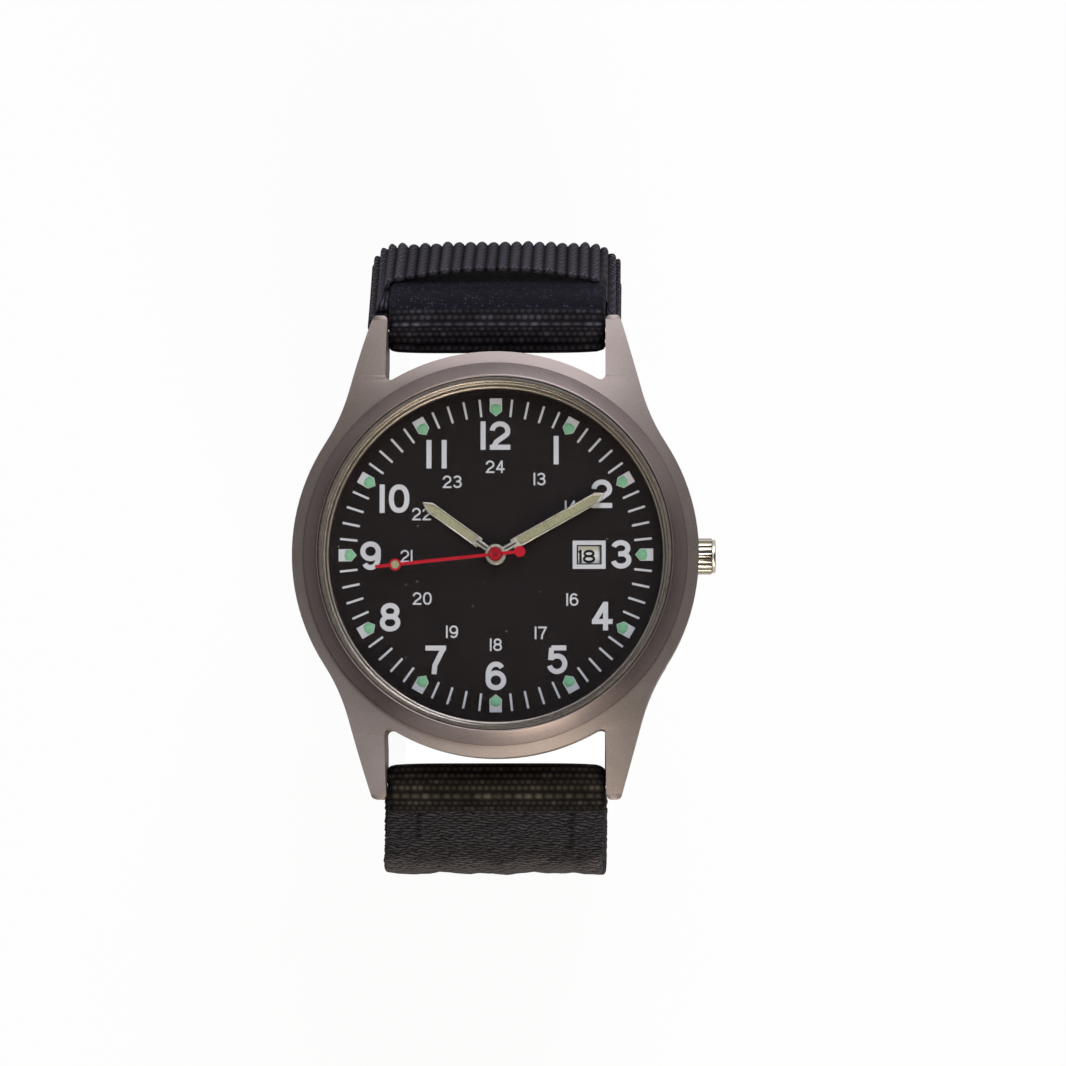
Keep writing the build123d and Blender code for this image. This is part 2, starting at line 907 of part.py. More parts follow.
with BuildPart() as pendant_tube:
    tube_start = cavity_radius + tube_seat_gap
    with BuildSketch(across(tube_start, 0, stem_z)):
        RegularPolygon(tube_radius, stub_sides)
        RegularPolygon(tube_bore_radius, stub_sides, mode=Mode.SUBTRACT)
    extrude(amount=tube_end - tube_start)
save(pendant_tube.part, "pendant_tube")

with BuildPart() as stem:
    with BuildSketch(across(stem_start, 0, stem_z)):
        Rectangle(stem_square, stem_square)
    extrude(amount=stem_square_end - stem_start)
    stem_end = crown_cavity_end + crown_boss_depth - press_gap
    extrude(bar_stub(stem_square_end, 0, stem_z, stem_radius), amount=stem_end - stem_square_end)
    with BuildSketch(across(stem_groove_middle - stem_groove_width / 2, 0, stem_z)):
        Circle(stem_radius + running_gap)
        RegularPolygon(stem_groove_radius, stub_sides, mode=Mode.SUBTRACT)
    extrude(amount=stem_groove_width, mode=Mode.SUBTRACT)
save(stem.part, "stem")

# Movement ring: a plastic holder between the plate and the case
with BuildPart() as movement_ring:
    ring_z = back_z + ring_bottom_lift
    ring_inner_radius = plate_radius + ring_gap
    with BuildSketch(Plane.XY.offset(ring_z)):
        RegularPolygon(cavity_radius - ring_gap, hidden_sides)
        RegularPolygon(ring_inner_radius, hidden_sides, mode=Mode.SUBTRACT)
    extrude(amount=dial_bottom_z - ring_z)
    extrude(
        bar_stub(0, 0, stem_z, stem_radius + stem_hole_gap),
        amount=cavity_radius,
        mode=Mode.SUBTRACT,
    )
save(movement_ring.part, "movement_ring")

# Places of the wheels in plan
third_place = polar(third_distance, third_direction)
step_place = polar(step_distance, step_direction)
rotor_place = polar(rotor_distance, rotor_direction, step_place)
minute_place = polar(minute_distance, 0)
setting_place = polar(setting_distance, 0, minute_place)
date_place = polar(date_distance, date_direction)
lever_swing = degrees(asin(crown_travel / 2 / lever_radius))
lever_place = (
    stem_groove_middle + crown_travel / 2,
    stem_groove_radius + lever_pin_gap + lever_pin_radius + lever_radius,
)
jumper_place = polar(jumper_post_reach, jumper_direction)

# Main plate: a disc with the calendar pocket above, channels below, posts and pillars
with BuildPart() as main_plate:
    extrude(stub((0, 0), plate_radius, plate_z, hidden_sides), amount=plate_thickness)
    extrude(
        stub((0, 0), pocket_radius, pocket_z, hidden_sides),
        amount=pocket_depth,
        mode=Mode.SUBTRACT,
    )
    with BuildSketch(Plane.XY.offset(plate_z)):
        with Locations(((channel_start + plate_radius) / 2, 0)):
            Rectangle(plate_radius - channel_start + overrun, 2 * (stem_radius + channel_gap))
    extrude(amount=stem_z + stem_radius + channel_gap - plate_z, mode=Mode.SUBTRACT)
    with BuildSketch(Plane.XY.offset(plate_z)):
        with Locations((clutch_start + clutch_length / 2, 0)):
            Rectangle(clutch_length + 2 * clutch_window_gap, 2 * (clutch_radius + clutch_window_gap))
    extrude(amount=stem_z + clutch_radius + channel_gap - plate_z, mode=Mode.SUBTRACT)
    with BuildSketch(Plane.XY.offset(plate_z)):
        with Locations((0, coil_y)):
            Rectangle(2 * (coil_half_length + channel_gap), 2 * (coil_radius + channel_gap))
    core_z = plate_z - running_gap - stator_thickness - core_thickness
    coil_z = core_z + core_thickness / 2
    extrude(amount=coil_z + coil_radius + channel_gap - plate_z, mode=Mode.SUBTRACT)
    extrude(
        stub((0, 0), center_tube_radius + running_gap, plate_z),
        amount=plate_thickness,
        mode=Mode.SUBTRACT,
    )
    for pivot_place in (third_place, step_place, rotor_place):
        extrude(
            stub(pivot_place, arbor_radius + running_gap, plate_z),
            amount=pivot_depth + running_gap,
            mode=Mode.SUBTRACT,
        )
    for post_place, post_top in (
        (minute_place, hour_wheel_z - running_gap),
        (setting_place, minute_wheel_z + wheel_thickness + running_gap),
        (date_place, disc_z + wheel_thickness),
    ):
        extrude(stub(post_place, post_radius, pocket_z), amount=post_top - pocket_z)
    for pillar_place in bridge_screw_places:
        extrude(stub(pillar_place, pillar_radius, bridge_top_z), amount=plate_z - bridge_top_z)
        extrude(
            stub(pillar_place, screw_radius + press_gap, bridge_top_z),
            amount=screw_bite + running_gap,
            mode=Mode.SUBTRACT,
        )
    clamp_top_z = clamp_z + clamp_thickness
    extrude(stub(clamp_screw_place, pillar_radius, clamp_top_z), amount=plate_z - clamp_top_z)
    extrude(
        stub(clamp_screw_place, screw_radius + press_gap, clamp_top_z),
        amount=screw_bite + running_gap,
        mode=Mode.SUBTRACT,
    )
    lever_z = bridge_z + lever_lift
    extrude(stub(lever_place, lever_stud_radius, lever_z), amount=plate_z - lever_z)
save(main_plate.part, "main_plate")

# Train bridge: a plate over the wheels, hung from the pillars
with BuildPart() as train_bridge:
    with BuildSketch(Plane.XY.offset(bridge_z)):
        with Locations((0, 0), rotor_place, *bridge_screw_places):
            RegularPolygon(bridge_margin, stub_sides)
        make_hull()
        with Locations(*bridge_screw_places):
            RegularPolygon(screw_radius + running_gap, stub_sides, mode=Mode.SUBTRACT)
        with Locations((0, 0), third_place, step_place, rotor_place):
            RegularPolygon(arbor_radius + running_gap, stub_sides, mode=Mode.SUBTRACT)
    extrude(amount=bridge_thickness)
save(train_bridge.part, "train_bridge")

# Screws under the bridge and the battery clamp
board_screws = bridge_screw_places[1:]
screw_tops = [(bridge_screw_places[0], bridge_z, bridge_top_z)]
screw_tops += [(place, board_z, bridge_top_z) for place in board_screws]
screw_tops.append((clamp_screw_place, clamp_z, clamp_z + clamp_thickness))
with BuildPart() as movement_screws:
    for screw_place, seat_z, hole_z in screw_tops:
        head_z = seat_z - screw_head_height
        extrude(stub(screw_place, screw_head_radius, head_z), amount=screw_head_height)
        extrude(stub(screw_place, screw_radius, seat_z), amount=hole_z + screw_bite - seat_z)
save(movement_screws.part, "movement_screws")

# Battery, and the clamp under it
with BuildPart() as battery:
    extrude(stub(battery_place, battery_radius, battery_z, hidden_sides), amount=battery_thickness)
save(battery.part, "battery")

with BuildPart() as battery_clamp:
    with BuildSketch(Plane.XY.offset(clamp_z)):
        with Locations(battery_place, clamp_screw_place):
            RegularPolygon(clamp_width / 2, stub_sides)
        make_hull()
        with Locations(clamp_screw_place):
            RegularPolygon(screw_radius + running_gap, stub_sides, mode=Mode.SUBTRACT)
    extrude(amount=clamp_thickness)
save(battery_clamp.part, "battery_clamp")

# Circuit board with the quartz resonator's can on it
with BuildPart() as circuit_board:
    with BuildSketch(Plane.XY.offset(board_z)):
        Polygon(
            (board_left, board_top - board_corner / 2),
            (board_left, board_bottom + board_corner / 2),
            (board_left + board_corner / 2, board_bottom),
            (board_right - board_corner, board_bottom),
            (board_right, board_bottom + board_corner),
            (board_right, board_top),
            (board_left + board_corner, board_top),
            align=None,
        )
        with Locations(*board_screws):
            RegularPolygon(screw_radius + running_gap, stub_sides, mode=Mode.SUBTRACT)
    extrude(amount=board_thickness)
save(circuit_board.part, "circuit_board")

with BuildPart() as quartz_can:
    quartz_z = board_z + board_thickness + running_gap + quartz_radius
    extrude(bar_stub(quartz_start, quartz_y, quartz_z, quartz_radius), amount=quartz_length)
save(quartz_can.part, "quartz_can")

# Stepping motor: stator plate, coil core and winding
with BuildPart() as stator:
    stator_z = plate_z - running_gap - stator_thickness
    with BuildSketch(Plane.XY.offset(stator_z)):
        leg_x = stator_half_width - stator_leg_width
        Polygon(
            (-stator_half_width, stator_foot_y),
            (-leg_x, stator_foot_y),
            (-leg_x, stator_throat_y),
            (leg_x, stator_throat_y),
            (leg_x, stator_foot_y),
            (stator_half_width, stator_foot_y),
            (stator_half_width, stator_top_y),
            (-stator_half_width, stator_top_y),
            align=None,
        )
        with Locations(rotor_place):
            RegularPolygon(magnet_radius + rotor_hole_gap, stub_sides, mode=Mode.SUBTRACT)
        with Locations(*board_screws):
            RegularPolygon(pillar_radius + running_gap, stub_sides, mode=Mode.SUBTRACT)
    extrude(amount=stator_thickness)
save(stator.part, "stator")

with BuildPart() as coil_core:
    with BuildSketch(Plane.XY.offset(core_z)):
        with Locations((0, coil_y)):
            Rectangle(2 * stator_half_width, core_width)
    extrude(amount=core_thickness)
save(coil_core.part, "coil_core")

with BuildPart() as coil_winding:
    with BuildSketch(across(-coil_half_length, coil_y, coil_z)):
        RegularPolygon(coil_radius, stub_sides)
        Rectangle(core_width + 2 * running_gap, core_thickness + 2 * running_gap, mode=Mode.SUBTRACT)
    extrude(amount=2 * coil_half_length)
save(coil_winding.part, "coil_winding")

# Going train: every mate's teeth fall into the gaps of the wheel before it
rotor_pitch = pitch_radius(rotor_distance, rotor_leaves, step_teeth)
step_wheel_pitch = rotor_distance - rotor_pitch
step_pinion_pitch = pitch_radius(step_distance, step_leaves, seconds_teeth)
seconds_wheel_pitch = step_distance - step_pinion_pitch
seconds_pinion_pitch = pitch_radius(third_distance, seconds_leaves, third_teeth)
third_wheel_pitch = third_distance - seconds_pinion_pitch
third_pinion_pitch = pitch_radius(third_distance, third_leaves, center_teeth)
center_wheel_pitch = third_distance - third_pinion_pitch
third_turn = mating_turn(0, seconds_leaves, third_direction, third_teeth)
center_turn = mating_turn(0, third_leaves, third_direction + 180, center_teeth)
step_turn = mating_turn(0, seconds_teeth, step_direction, step_leaves)
rotor_turn = mating_turn(step_turn, step_teeth, rotor_direction, rotor_leaves)
arbor_bottom_z = bridge_top_z - pivot_depth
arbor_top_z = plate_z + pivot_depth

with BuildPart() as rotor:
    magnet_z = plate_z - running_gap - stator_thickness
    leaf_z = step_wheel_z - running_gap
    extrude(gear(rotor_place, rotor_leaves, rotor_pitch, leaf_z, rotor_turn), amount=magnet_z - leaf_z)
    extrude(stub(rotor_place, magnet_radius, magnet_z), amount=stator_thickness)
    extrude(disc(rotor_place, arbor_radius, arbor_bottom_z), amount=arbor_top_z - arbor_bottom_z)
save(rotor.part, "rotor")

with BuildPart() as step_wheel:
    extrude(
        gear(step_place, step_teeth, step_wheel_pitch, step_wheel_z, step_turn),
        amount=wheel_thickness,
    )
    extrude(
        gear(step_place, step_leaves, step_pinion_pitch, seconds_wheel_z, step_turn),
        amount=step_wheel_z - seconds_wheel_z,
    )
    extrude(disc(step_place, arbor_radius, arbor_bottom_z), amount=arbor_top_z - arbor_bottom_z)
save(step_wheel.part, "step_wheel")

with BuildPart() as seconds_wheel:
    extrude(
        gear((0, 0), seconds_teeth, seconds_wheel_pitch, seconds_wheel_z, 0),
        amount=wheel_thickness,
    )
    pinion_z = seconds_wheel_z + wheel_thickness
    pinion_top_z = third_wheel_z + wheel_thickness + running_gap
    extrude(
        gear((0, 0), seconds_leaves, seconds_pinion_pitch, pinion_z, 0),
        amount=pinion_top_z - pinion_z,
    )
    extrude(
        disc((0, 0), seconds_arbor_radius, arbor_bottom_z),
        amount=seconds_hand_z - arbor_bottom_z,
    )
save(seconds_wheel.part, "seconds_wheel")

with BuildPart() as third_wheel:
    extrude(
        gear(third_place, third_teeth, third_wheel_pitch, third_wheel_z, third_turn),
        amount=wheel_thickness,
    )
    third_pinion_z = third_wheel_z + wheel_thickness
    extrude(
        gear(third_place, third_leaves, third_pinion_pitch, third_pinion_z, 0),
        amount=plate_z - running_gap - third_pinion_z,
    )
    extrude(disc(third_place, arbor_radius, arbor_bottom_z), amount=arbor_top_z - arbor_bottom_z)
save(third_wheel.part, "third_wheel")

with BuildPart() as center_wheel:
    extrude(
        gear((0, 0), center_teeth, center_wheel_pitch, center_wheel_z, center_turn),
        amount=wheel_thickness,
    )
    center_top_z = hour_wheel_z + wheel_thickness
    extrude(stub((0, 0), center_tube_radius, center_wheel_z), amount=center_top_z - center_wheel_z)
    extrude(
        stub((0, 0), center_bore_radius, center_wheel_z),
        amount=center_top_z - center_wheel_z,
        mode=Mode.SUBTRACT,
    )
save(center_wheel.part, "center_wheel")

# Motion work on the dial side
cannon_pitch = pitch_radius(minute_distance, cannon_teeth, minute_teeth)
minute_wheel_pitch = minute_distance - cannon_pitch
minute_pinion_pitch = pitch_radius(minute_distance, minute_leaves, hour_teeth)
hour_wheel_pitch = minute_distance - minute_pinion_pitch
setting_pitch = setting_distance - minute_wheel_pitch
minute_turn = mating_turn(0, cannon_teeth, 0, minute_teeth)
setting_turn = mating_turn(minute_turn, minute_teeth, 0, setting_teeth)
hour_turn = mating_turn(0, minute_leaves, 180, hour_teeth)

with BuildPart() as cannon_pinion:
    cannon_z = pocket_z + running_gap
    cannon_top_z = minute_hand_z + hub_height
    leaf_top_z = minute_wheel_z + wheel_thickness + running_gap
    extrude(
        gear((0, 0), cannon_teeth, cannon_pitch, cannon_z, 0),
        amount=leaf_top_z - cannon_z,
    )
    extrude(stub((0, 0), cannon_tube_radius, cannon_z), amount=cannon_top_z - cannon_z)
    extrude(
        stub((0, 0), cannon_bore_radius, cannon_z),
        amount=cannon_top_z - cannon_z,
        mode=Mode.SUBTRACT,
    )
save(cannon_pinion.part, "cannon_pinion")

with BuildPart() as minute_wheel:
    extrude(
        gear(minute_place, minute_teeth, minute_wheel_pitch, minute_wheel_z, minute_turn),
        amount=wheel_thickness,
    )
    minute_pinion_z = minute_wheel_z + wheel_thickness
    minute_pinion_top_z = hour_wheel_z + wheel_thickness + layer_gap
    extrude(
        gear(minute_place, minute_leaves, minute_pinion_pitch, minute_pinion_z, 0),
        amount=minute_pinion_top_z - minute_pinion_z,
    )
    extrude(
        disc(minute_place, post_radius + running_gap, minute_wheel_z),
        amount=minute_pinion_top_z - minute_wheel_z,
        mode=Mode.SUBTRACT,
    )
save(minute_wheel.part, "minute_wheel")

hour_date_pitch = pitch_radius(date_distance, hour_date_teeth, date_teeth)
date_pitch = date_distance - hour_date_pitch
date_turn = mating_turn(0, hour_date_teeth, date_direction, date_teeth)

with BuildPart() as hour_wheel:
    extrude(
        gear((0, 0), hour_teeth, hour_wheel_pitch, hour_wheel_z, hour_turn),
        amount=wheel_thickness,
    )
    hour_top_z = hour_hand_z + hub_height
    extrude(stub((0, 0), hour_tube_radius, hour_wheel_z), amount=hour_top_z - hour_wheel_z)
    extrude(
        gear((0, 0), hour_date_teeth, hour_date_pitch, date_train_z, 0),
        amount=wheel_thickness,
    )
    extrude(
        stub((0, 0), hour_bore_radius, hour_wheel_z),
        amount=hour_top_z - hour_wheel_z,
        mode=Mode.SUBTRACT,
    )
save(hour_wheel.part, "hour_wheel")

with BuildPart() as setting_wheel:
    extrude(
        gear(setting_place, setting_teeth, setting_pitch, minute_wheel_z, setting_turn),
        amount=wheel_thickness,
    )
    extrude(
        disc(setting_place, post_radius + running_gap, minute_wheel_z),
        amount=wheel_thickness,
        mode=Mode.SUBTRACT,
    )
save(setting_wheel.part, "setting_wheel")

# Calendar: driving wheel with its finger, date disc, jumper and guard
with BuildPart() as date_driving_wheel:
    extrude(
        gear(date_place, date_teeth, date_pitch, date_train_z, date_turn),
        amount=wheel_thickness,
    )
    finger_turn = date_direction + 90
    finger_top_z = disc_z + disc_thickness - layer_gap
    finger_tip = polar(finger_length, finger_turn, date_place)
    finger_points = [
        polar(finger_width, finger_turn - 90, date_place),
        polar(finger_width, finger_turn + 90, date_place),
        finger_tip,
    ]
    finger_z = date_train_z + wheel_thickness
    extrude(stub(date_place, 2 * finger_width, finger_z), amount=finger_top_z - finger_z)
    extrude(outline(Plane.XY.offset(disc_z), finger_points), amount=finger_top_z - disc_z)
    extrude(
        disc(date_place, post_radius + running_gap, date_train_z),
        amount=finger_top_z - date_train_z,
        mode=Mode.SUBTRACT,
    )
save(date_driving_wheel.part, "date_driving_wheel")

with BuildPart() as date_disc:
    extrude(stub((0, 0), disc_radius, disc_z, hidden_sides), amount=disc_thickness)
    notches = star(
        Plane.XY.offset(disc_z),
        (0, 0),
        disc_teeth,
        disc_tooth_tip_radius + disc_tooth_depth,
        disc_tooth_tip_radius,
    )
    extrude(notches, amount=disc_thickness, mode=Mode.SUBTRACT)
save(date_disc.part, "date_disc")

with BuildPart() as date_jumper:
    jumper_nose = polar(disc_tooth_tip_radius - jumper_nose_gap, jumper_nose_direction)
    extrude(stub(jumper_place, jumper_post_radius, pocket_z), amount=disc_z - pocket_z)
    with BuildSketch(Plane.XY.offset(disc_z)):
        with Locations(jumper_place):
            RegularPolygon(jumper_post_radius, stub_sides)
        with BuildLine():
            Polyline(
                polar(jumper_arm_width / 2, jumper_direction, jumper_place),
                jumper_nose,
                polar(jumper_arm_width, jumper_direction + 180, jumper_place),
                close=True,
            )
        make_face()
    extrude(amount=disc_thickness)
save(date_jumper.part, "date_jumper")

with BuildPart() as date_disc_guard:
    with BuildSketch(Plane.XY.offset(guard_z)):
        RegularPolygon(guard_radius, hidden_sides)
        RegularPolygon(guard_hole_radius, stub_sides, mode=Mode.SUBTRACT)
    extrude(amount=guard_thickness)
save(date_disc_guard.part, "date_disc_guard")

# Clutch wheel on the stem's square, and the setting lever in the stem's groove
with BuildPart() as clutch_wheel:
    clutch_profile = star(
        across(clutch_start, 0, stem_z),
        (0, 0),
        clutch_teeth,
        clutch_radius,
        clutch_radius - clutch_tooth_depth,
    )
    extrude(clutch_profile, amount=clutch_tooth_length)
    neck_x = clutch_start + clutch_tooth_length
    extrude(bar_stub(neck_x, 0, stem_z, clutch_neck_radius), amount=clutch_neck_length)
    collar_x = neck_x + clutch_neck_length
    extrude(
        bar_stub(collar_x, 0, stem_z, clutch_radius),
        amount=clutch_length - clutch_tooth_length - clutch_neck_length,
    )
    with BuildSketch(across(clutch_start, 0, stem_z)):
        Rectangle(stem_square + 2 * stem_square_gap, stem_square + 2 * stem_square_gap)
    extrude(amount=clutch_length, mode=Mode.SUBTRACT)
save(clutch_wheel.part, "clutch_wheel")

with BuildPart() as setting_lever:
    lever_heading = 270 - lever_swing
    lever_pin_place = polar(lever_radius, lever_heading, lever_place)
    lever_tail = polar(lever_tail_reach, lever_heading + 180, lever_place)
    with BuildSketch(Plane.XY.offset(lever_z)):
        with Locations(lever_place):
            RegularPolygon(lever_eye_radius, stub_sides)
        with Locations(lever_pin_place, lever_tail):
            RegularPolygon(lever_tip_radius, stub_sides)
        make_hull()
        with Locations(lever_place):
            Circle(lever_stud_radius + running_gap, mode=Mode.SUBTRACT)
    extrude(amount=lever_thickness)
    extrude(
        stub(lever_pin_place, lever_pin_radius, lever_z + lever_thickness),
        amount=stem_z - lever_z - lever_thickness + stem_groove_radius / 2,
    )
save(setting_lever.part, "setting_lever")
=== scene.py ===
# %% [markdown]
# # A field watch on a nylon strap
# The watch stands on its closed strap with the dial facing up. Its exact pieces come from the
# frame, in metres. This lesson gives each visible piece the shape and finish of the real one.

# %% Frame
import random

import bmesh
import bpy
from math import atan2, cos, hypot, pi, radians, sin, tan
from mathutils import Matrix, Vector


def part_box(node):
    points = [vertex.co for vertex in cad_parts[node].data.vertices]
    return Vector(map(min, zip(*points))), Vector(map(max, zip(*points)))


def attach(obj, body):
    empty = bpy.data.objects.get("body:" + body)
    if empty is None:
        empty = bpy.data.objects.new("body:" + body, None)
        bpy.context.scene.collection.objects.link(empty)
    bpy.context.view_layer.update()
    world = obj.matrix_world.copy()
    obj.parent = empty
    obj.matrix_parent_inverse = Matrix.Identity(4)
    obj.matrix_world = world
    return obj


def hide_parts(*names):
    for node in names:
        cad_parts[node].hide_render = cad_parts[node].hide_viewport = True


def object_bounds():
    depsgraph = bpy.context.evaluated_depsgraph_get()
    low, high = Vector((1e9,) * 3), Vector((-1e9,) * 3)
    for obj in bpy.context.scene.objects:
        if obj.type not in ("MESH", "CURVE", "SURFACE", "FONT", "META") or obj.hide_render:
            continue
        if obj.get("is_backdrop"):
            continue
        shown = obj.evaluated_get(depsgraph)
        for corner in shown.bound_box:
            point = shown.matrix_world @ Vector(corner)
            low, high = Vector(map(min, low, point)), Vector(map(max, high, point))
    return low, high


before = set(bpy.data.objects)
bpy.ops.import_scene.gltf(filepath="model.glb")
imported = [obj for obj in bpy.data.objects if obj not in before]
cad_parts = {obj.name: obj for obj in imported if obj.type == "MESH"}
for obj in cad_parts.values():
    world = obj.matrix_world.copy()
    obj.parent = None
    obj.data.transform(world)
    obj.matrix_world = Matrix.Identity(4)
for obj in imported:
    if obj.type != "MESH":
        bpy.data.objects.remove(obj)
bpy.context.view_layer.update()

mm = 0.001

# %% [markdown]
# ## Camera
# The photograph looks straight down on the dial from a little below six o'clock and a little
# right of the axis. A long lens half a metre away gives the same slight view of the lower
# flanks. The camera's axes are worked out one by one, because a track-to constraint would roll it.

# %% Camera
view_centre = Vector((3.72, 2.2, 51.3)) * mm
view_distance = 450 * mm
view_right = radians(1.6)
view_below = radians(4.5)
image_width = 106.6 * mm
sensor_width = 36

toward = Vector((sin(view_right), -sin(view_below), cos(view_below))).normalized()
camera_x = Vector((0, 1, 0)).cross(toward).normalized()
camera_y = toward.cross(camera_x)
camera_data = bpy.data.cameras.new("camera")
camera_data.sensor_width = sensor_width
camera_data.lens = sensor_width * view_distance / image_width
camera_data.clip_start = 0.01
camera = bpy.data.objects.new("camera", camera_data)
bpy.context.collection.objects.link(camera)
turn = Matrix((camera_x, camera_y, toward)).transposed().to_4x4()
camera.matrix_world = Matrix.Translation(view_centre + toward * view_distance) @ turn
bpy.context.scene.camera = camera
bpy.context.scene.view_settings.view_transform = "Standard"
print("lens", round(camera_data.lens, 1))


# %% [markdown]
# ## Node tools
# Every material here is made of nodes. Small helpers keep the trees short: they add a node with
# its inputs, do arithmetic, mix colours, start a group or a material, and place a group in it.

# %% Node tools
def node(tree, kind, inputs=None, **settings):
    """A new node with its settings, and with each input set to a value or linked to a socket."""
    made = tree.nodes.new(kind)
    for name, value in settings.items():
        setattr(made, name, value)
    for key, value in (inputs or {}).items():
        if isinstance(value, bpy.types.NodeSocket):
            tree.links.new(value, made.inputs[key])
        else:
            made.inputs[key].default_value = value
    return made


def calc(tree, operation, *values):
    """One step of arithmetic."""
    inputs = dict(enumerate(values))
    return node(tree, "ShaderNodeMath", inputs, operation=operation).outputs[0]


def blend_colour(tree, amount, low, high, mode="MIX"):
    """A colour between two others."""
    inputs = {0: amount, 6: low, 7: high}
    mixed = node(tree, "ShaderNodeMix", inputs, data_type="RGBA", blend_type=mode)
    return mixed.outputs[2]


def srgb(red, green, blue):
    """A colour as the photograph shows it, from 0 to 255, made linear."""
    shares = (v / 255 for v in (red, green, blue))
    linear = [v / 12.92 if v < 0.04045 else ((v + 0.055) / 1.055) ** 2.4 for v in shares]
    return (*linear, 1)


def effect(name, inputs, outputs):
    """An empty node group with its sockets."""
    tree = bpy.data.node_groups.new(name, "ShaderNodeTree")
    for socket, kind, value in inputs:
        made = tree.interface.new_socket(socket, in_out="INPUT", socket_type=kind)
        if value is not None:
            made.default_value = value
    for socket, kind in outputs:
        tree.interface.new_socket(socket, in_out="OUTPUT", socket_type=kind)
    return tree, node(tree, "NodeGroupInput"), node(tree, "NodeGroupOutput")


def material(name):
    """A new material, its tree and its shader."""
    made = bpy.data.materials.new(name)
    made.use_nodes = True
    tree = made.node_tree
    return made, tree, tree.nodes["Principled BSDF"]


def use_effect(tree, group, **inputs):
    """A shared group placed in a material with its own values."""
    made = node(tree, "ShaderNodeGroup")
    made.node_tree = group
    for name, value in inputs.items():
        socket = made.inputs[name]
        if isinstance(value, bpy.types.NodeSocket):
            tree.links.new(value, socket)
        else:
            socket.default_value = value
    return made


def object_place(tree):
    """Each point's place on its object."""
    return node(tree, "ShaderNodeTexCoord").outputs["Object"]


print("node tools ready")

# %% [markdown]
# ## Shared effects
# Blasted and moulded surfaces vary a little everywhere, so one group gives a speckle of colour,
# roughness and height at any scale. A second group draws fine rings about the watch's axis, as a
# lathe leaves them. Groups put out only values, and the shader stays in each material.

# %% Shared effects
colour, number, vector = "NodeSocketColor", "NodeSocketFloat", "NodeSocketVector"

grain, start, end = effect(
    "grain",
    [
        ("Place", vector, None),
        ("Scale", number, 4000.0),
        ("Low", colour, (0.1, 0.1, 0.1, 1)),
        ("High", colour, (0.2, 0.2, 0.2, 1)),
        ("Smooth", number, 0.3),
        ("Rough", number, 0.5),
    ],
    [("Color", colour), ("Roughness", number), ("Height", number)],
)
fine = node(
    grain, "ShaderNodeTexNoise", {"Vector": start.outputs["Place"], "Scale": start.outputs["Scale"]}
)
wide_share, fine_weight, wide_weight = 0.06, 0.6, 0.4
wide_scale = calc(grain, "MULTIPLY", start.outputs["Scale"], wide_share)
wide = node(grain, "ShaderNodeTexNoise", {"Vector": start.outputs["Place"], "Scale": wide_scale})
wide_part = calc(grain, "MULTIPLY", wide.outputs[0], wide_weight)
mixed = calc(grain, "MULTIPLY_ADD", fine.outputs[0], fine_weight, wide_part)
spread = node(grain, "ShaderNodeMapRange", {0: mixed, 1: 0.3, 2: 0.7}).outputs[0]
tint = blend_colour(grain, spread, start.outputs["Low"], start.outputs["High"])
rough = node(
    grain,
    "ShaderNodeMapRange",
    {0: spread, 3: start.outputs["Smooth"], 4: start.outputs["Rough"]},
).outputs[0]
grain.links.new(tint, end.inputs["Color"])
grain.links.new(rough, end.inputs["Roughness"])
grain.links.new(fine.outputs[0], end.inputs["Height"])

rings, start, end = effect(
    "rings", [("Place", vector, None), ("Pitch", number, 0.0001)], [("Value", number)]
)
axes = node(rings, "ShaderNodeSeparateXYZ", {0: start.outputs["Place"]})
squares = [calc(rings, "POWER", axes.outputs[i], 2.0) for i in (0, 1)]
radius = calc(rings, "SQRT", calc(rings, "ADD", *squares))
# The rings also step with height, so that a steep cone keeps them as fine as a flat.
height_share = 0.7
cone = calc(rings, "ADD", radius, calc(rings, "MULTIPLY", axes.outputs[2], height_share))
steps = calc(rings, "DIVIDE", cone, start.outputs["Pitch"])
line = node(
    rings, "ShaderNodeTexNoise", {"W": steps, "Scale": 1.0, "Detail": 3.0}, noise_dimensions="1D"
)
rings.links.new(line.outputs[0], end.inputs["Value"])
print("groups", [g.name for g in bpy.data.node_groups])


# %% [markdown]
# ## Metals and plastics
# Each hard material is the grain group between two near colours, with its own roughness and a
# faint bump. Turned metal also stretches its highlight across the lines that the lathe left.

# %% Hard finish
def turned_lobe(tree, shader, share):
    """Stretches the highlight across the turning lines round the dial's axis."""
    quarter_turn = 0.25
    shader.inputs["Anisotropic"].default_value = share
    shader.inputs["Anisotropic Rotation"].default_value = quarter_turn
    around = node(tree, "ShaderNodeTangent", direction_type="RADIAL", axis="Z")
    tree.links.new(around.outputs[0], shader.inputs["Tangent"])


def hard(
    name,
    low,
    high,
    smooth,
    rough,
    metallic=0.0,
    scale=4000.0,
    bump=0.1,
    depth=0.01,
    specular=0.5,
):
    """Grain between two near colours and two roughnesses, with a bump of depth millimetres."""
    made, tree, shader = material(name)
    place = object_place(tree)
    speckle = use_effect(
        tree, grain, Place=place, Scale=scale, Low=low, High=high, Smooth=smooth, Rough=rough
    )
    relief = node(
        tree,
        "ShaderNodeBump",
        {"Strength": bump, "Distance": depth * mm, "Height": speckle.outputs["Height"]},
    )
    tree.links.new(speckle.outputs["Color"], shader.inputs["Base Color"])
    tree.links.new(speckle.outputs["Roughness"], shader.inputs["Roughness"])
    tree.links.new(relief.outputs[0], shader.inputs["Normal"])
    shader.inputs["Metallic"].default_value = metallic
    shader.inputs["Specular IOR Level"].default_value = specular
    return made


print("hard finish ready")

# %% [markdown]
# The case is blasted titanium: a warm dark grey with a soft glow and no mirror image. The bezel
# is the same metal turned finer, and the crown is polished.

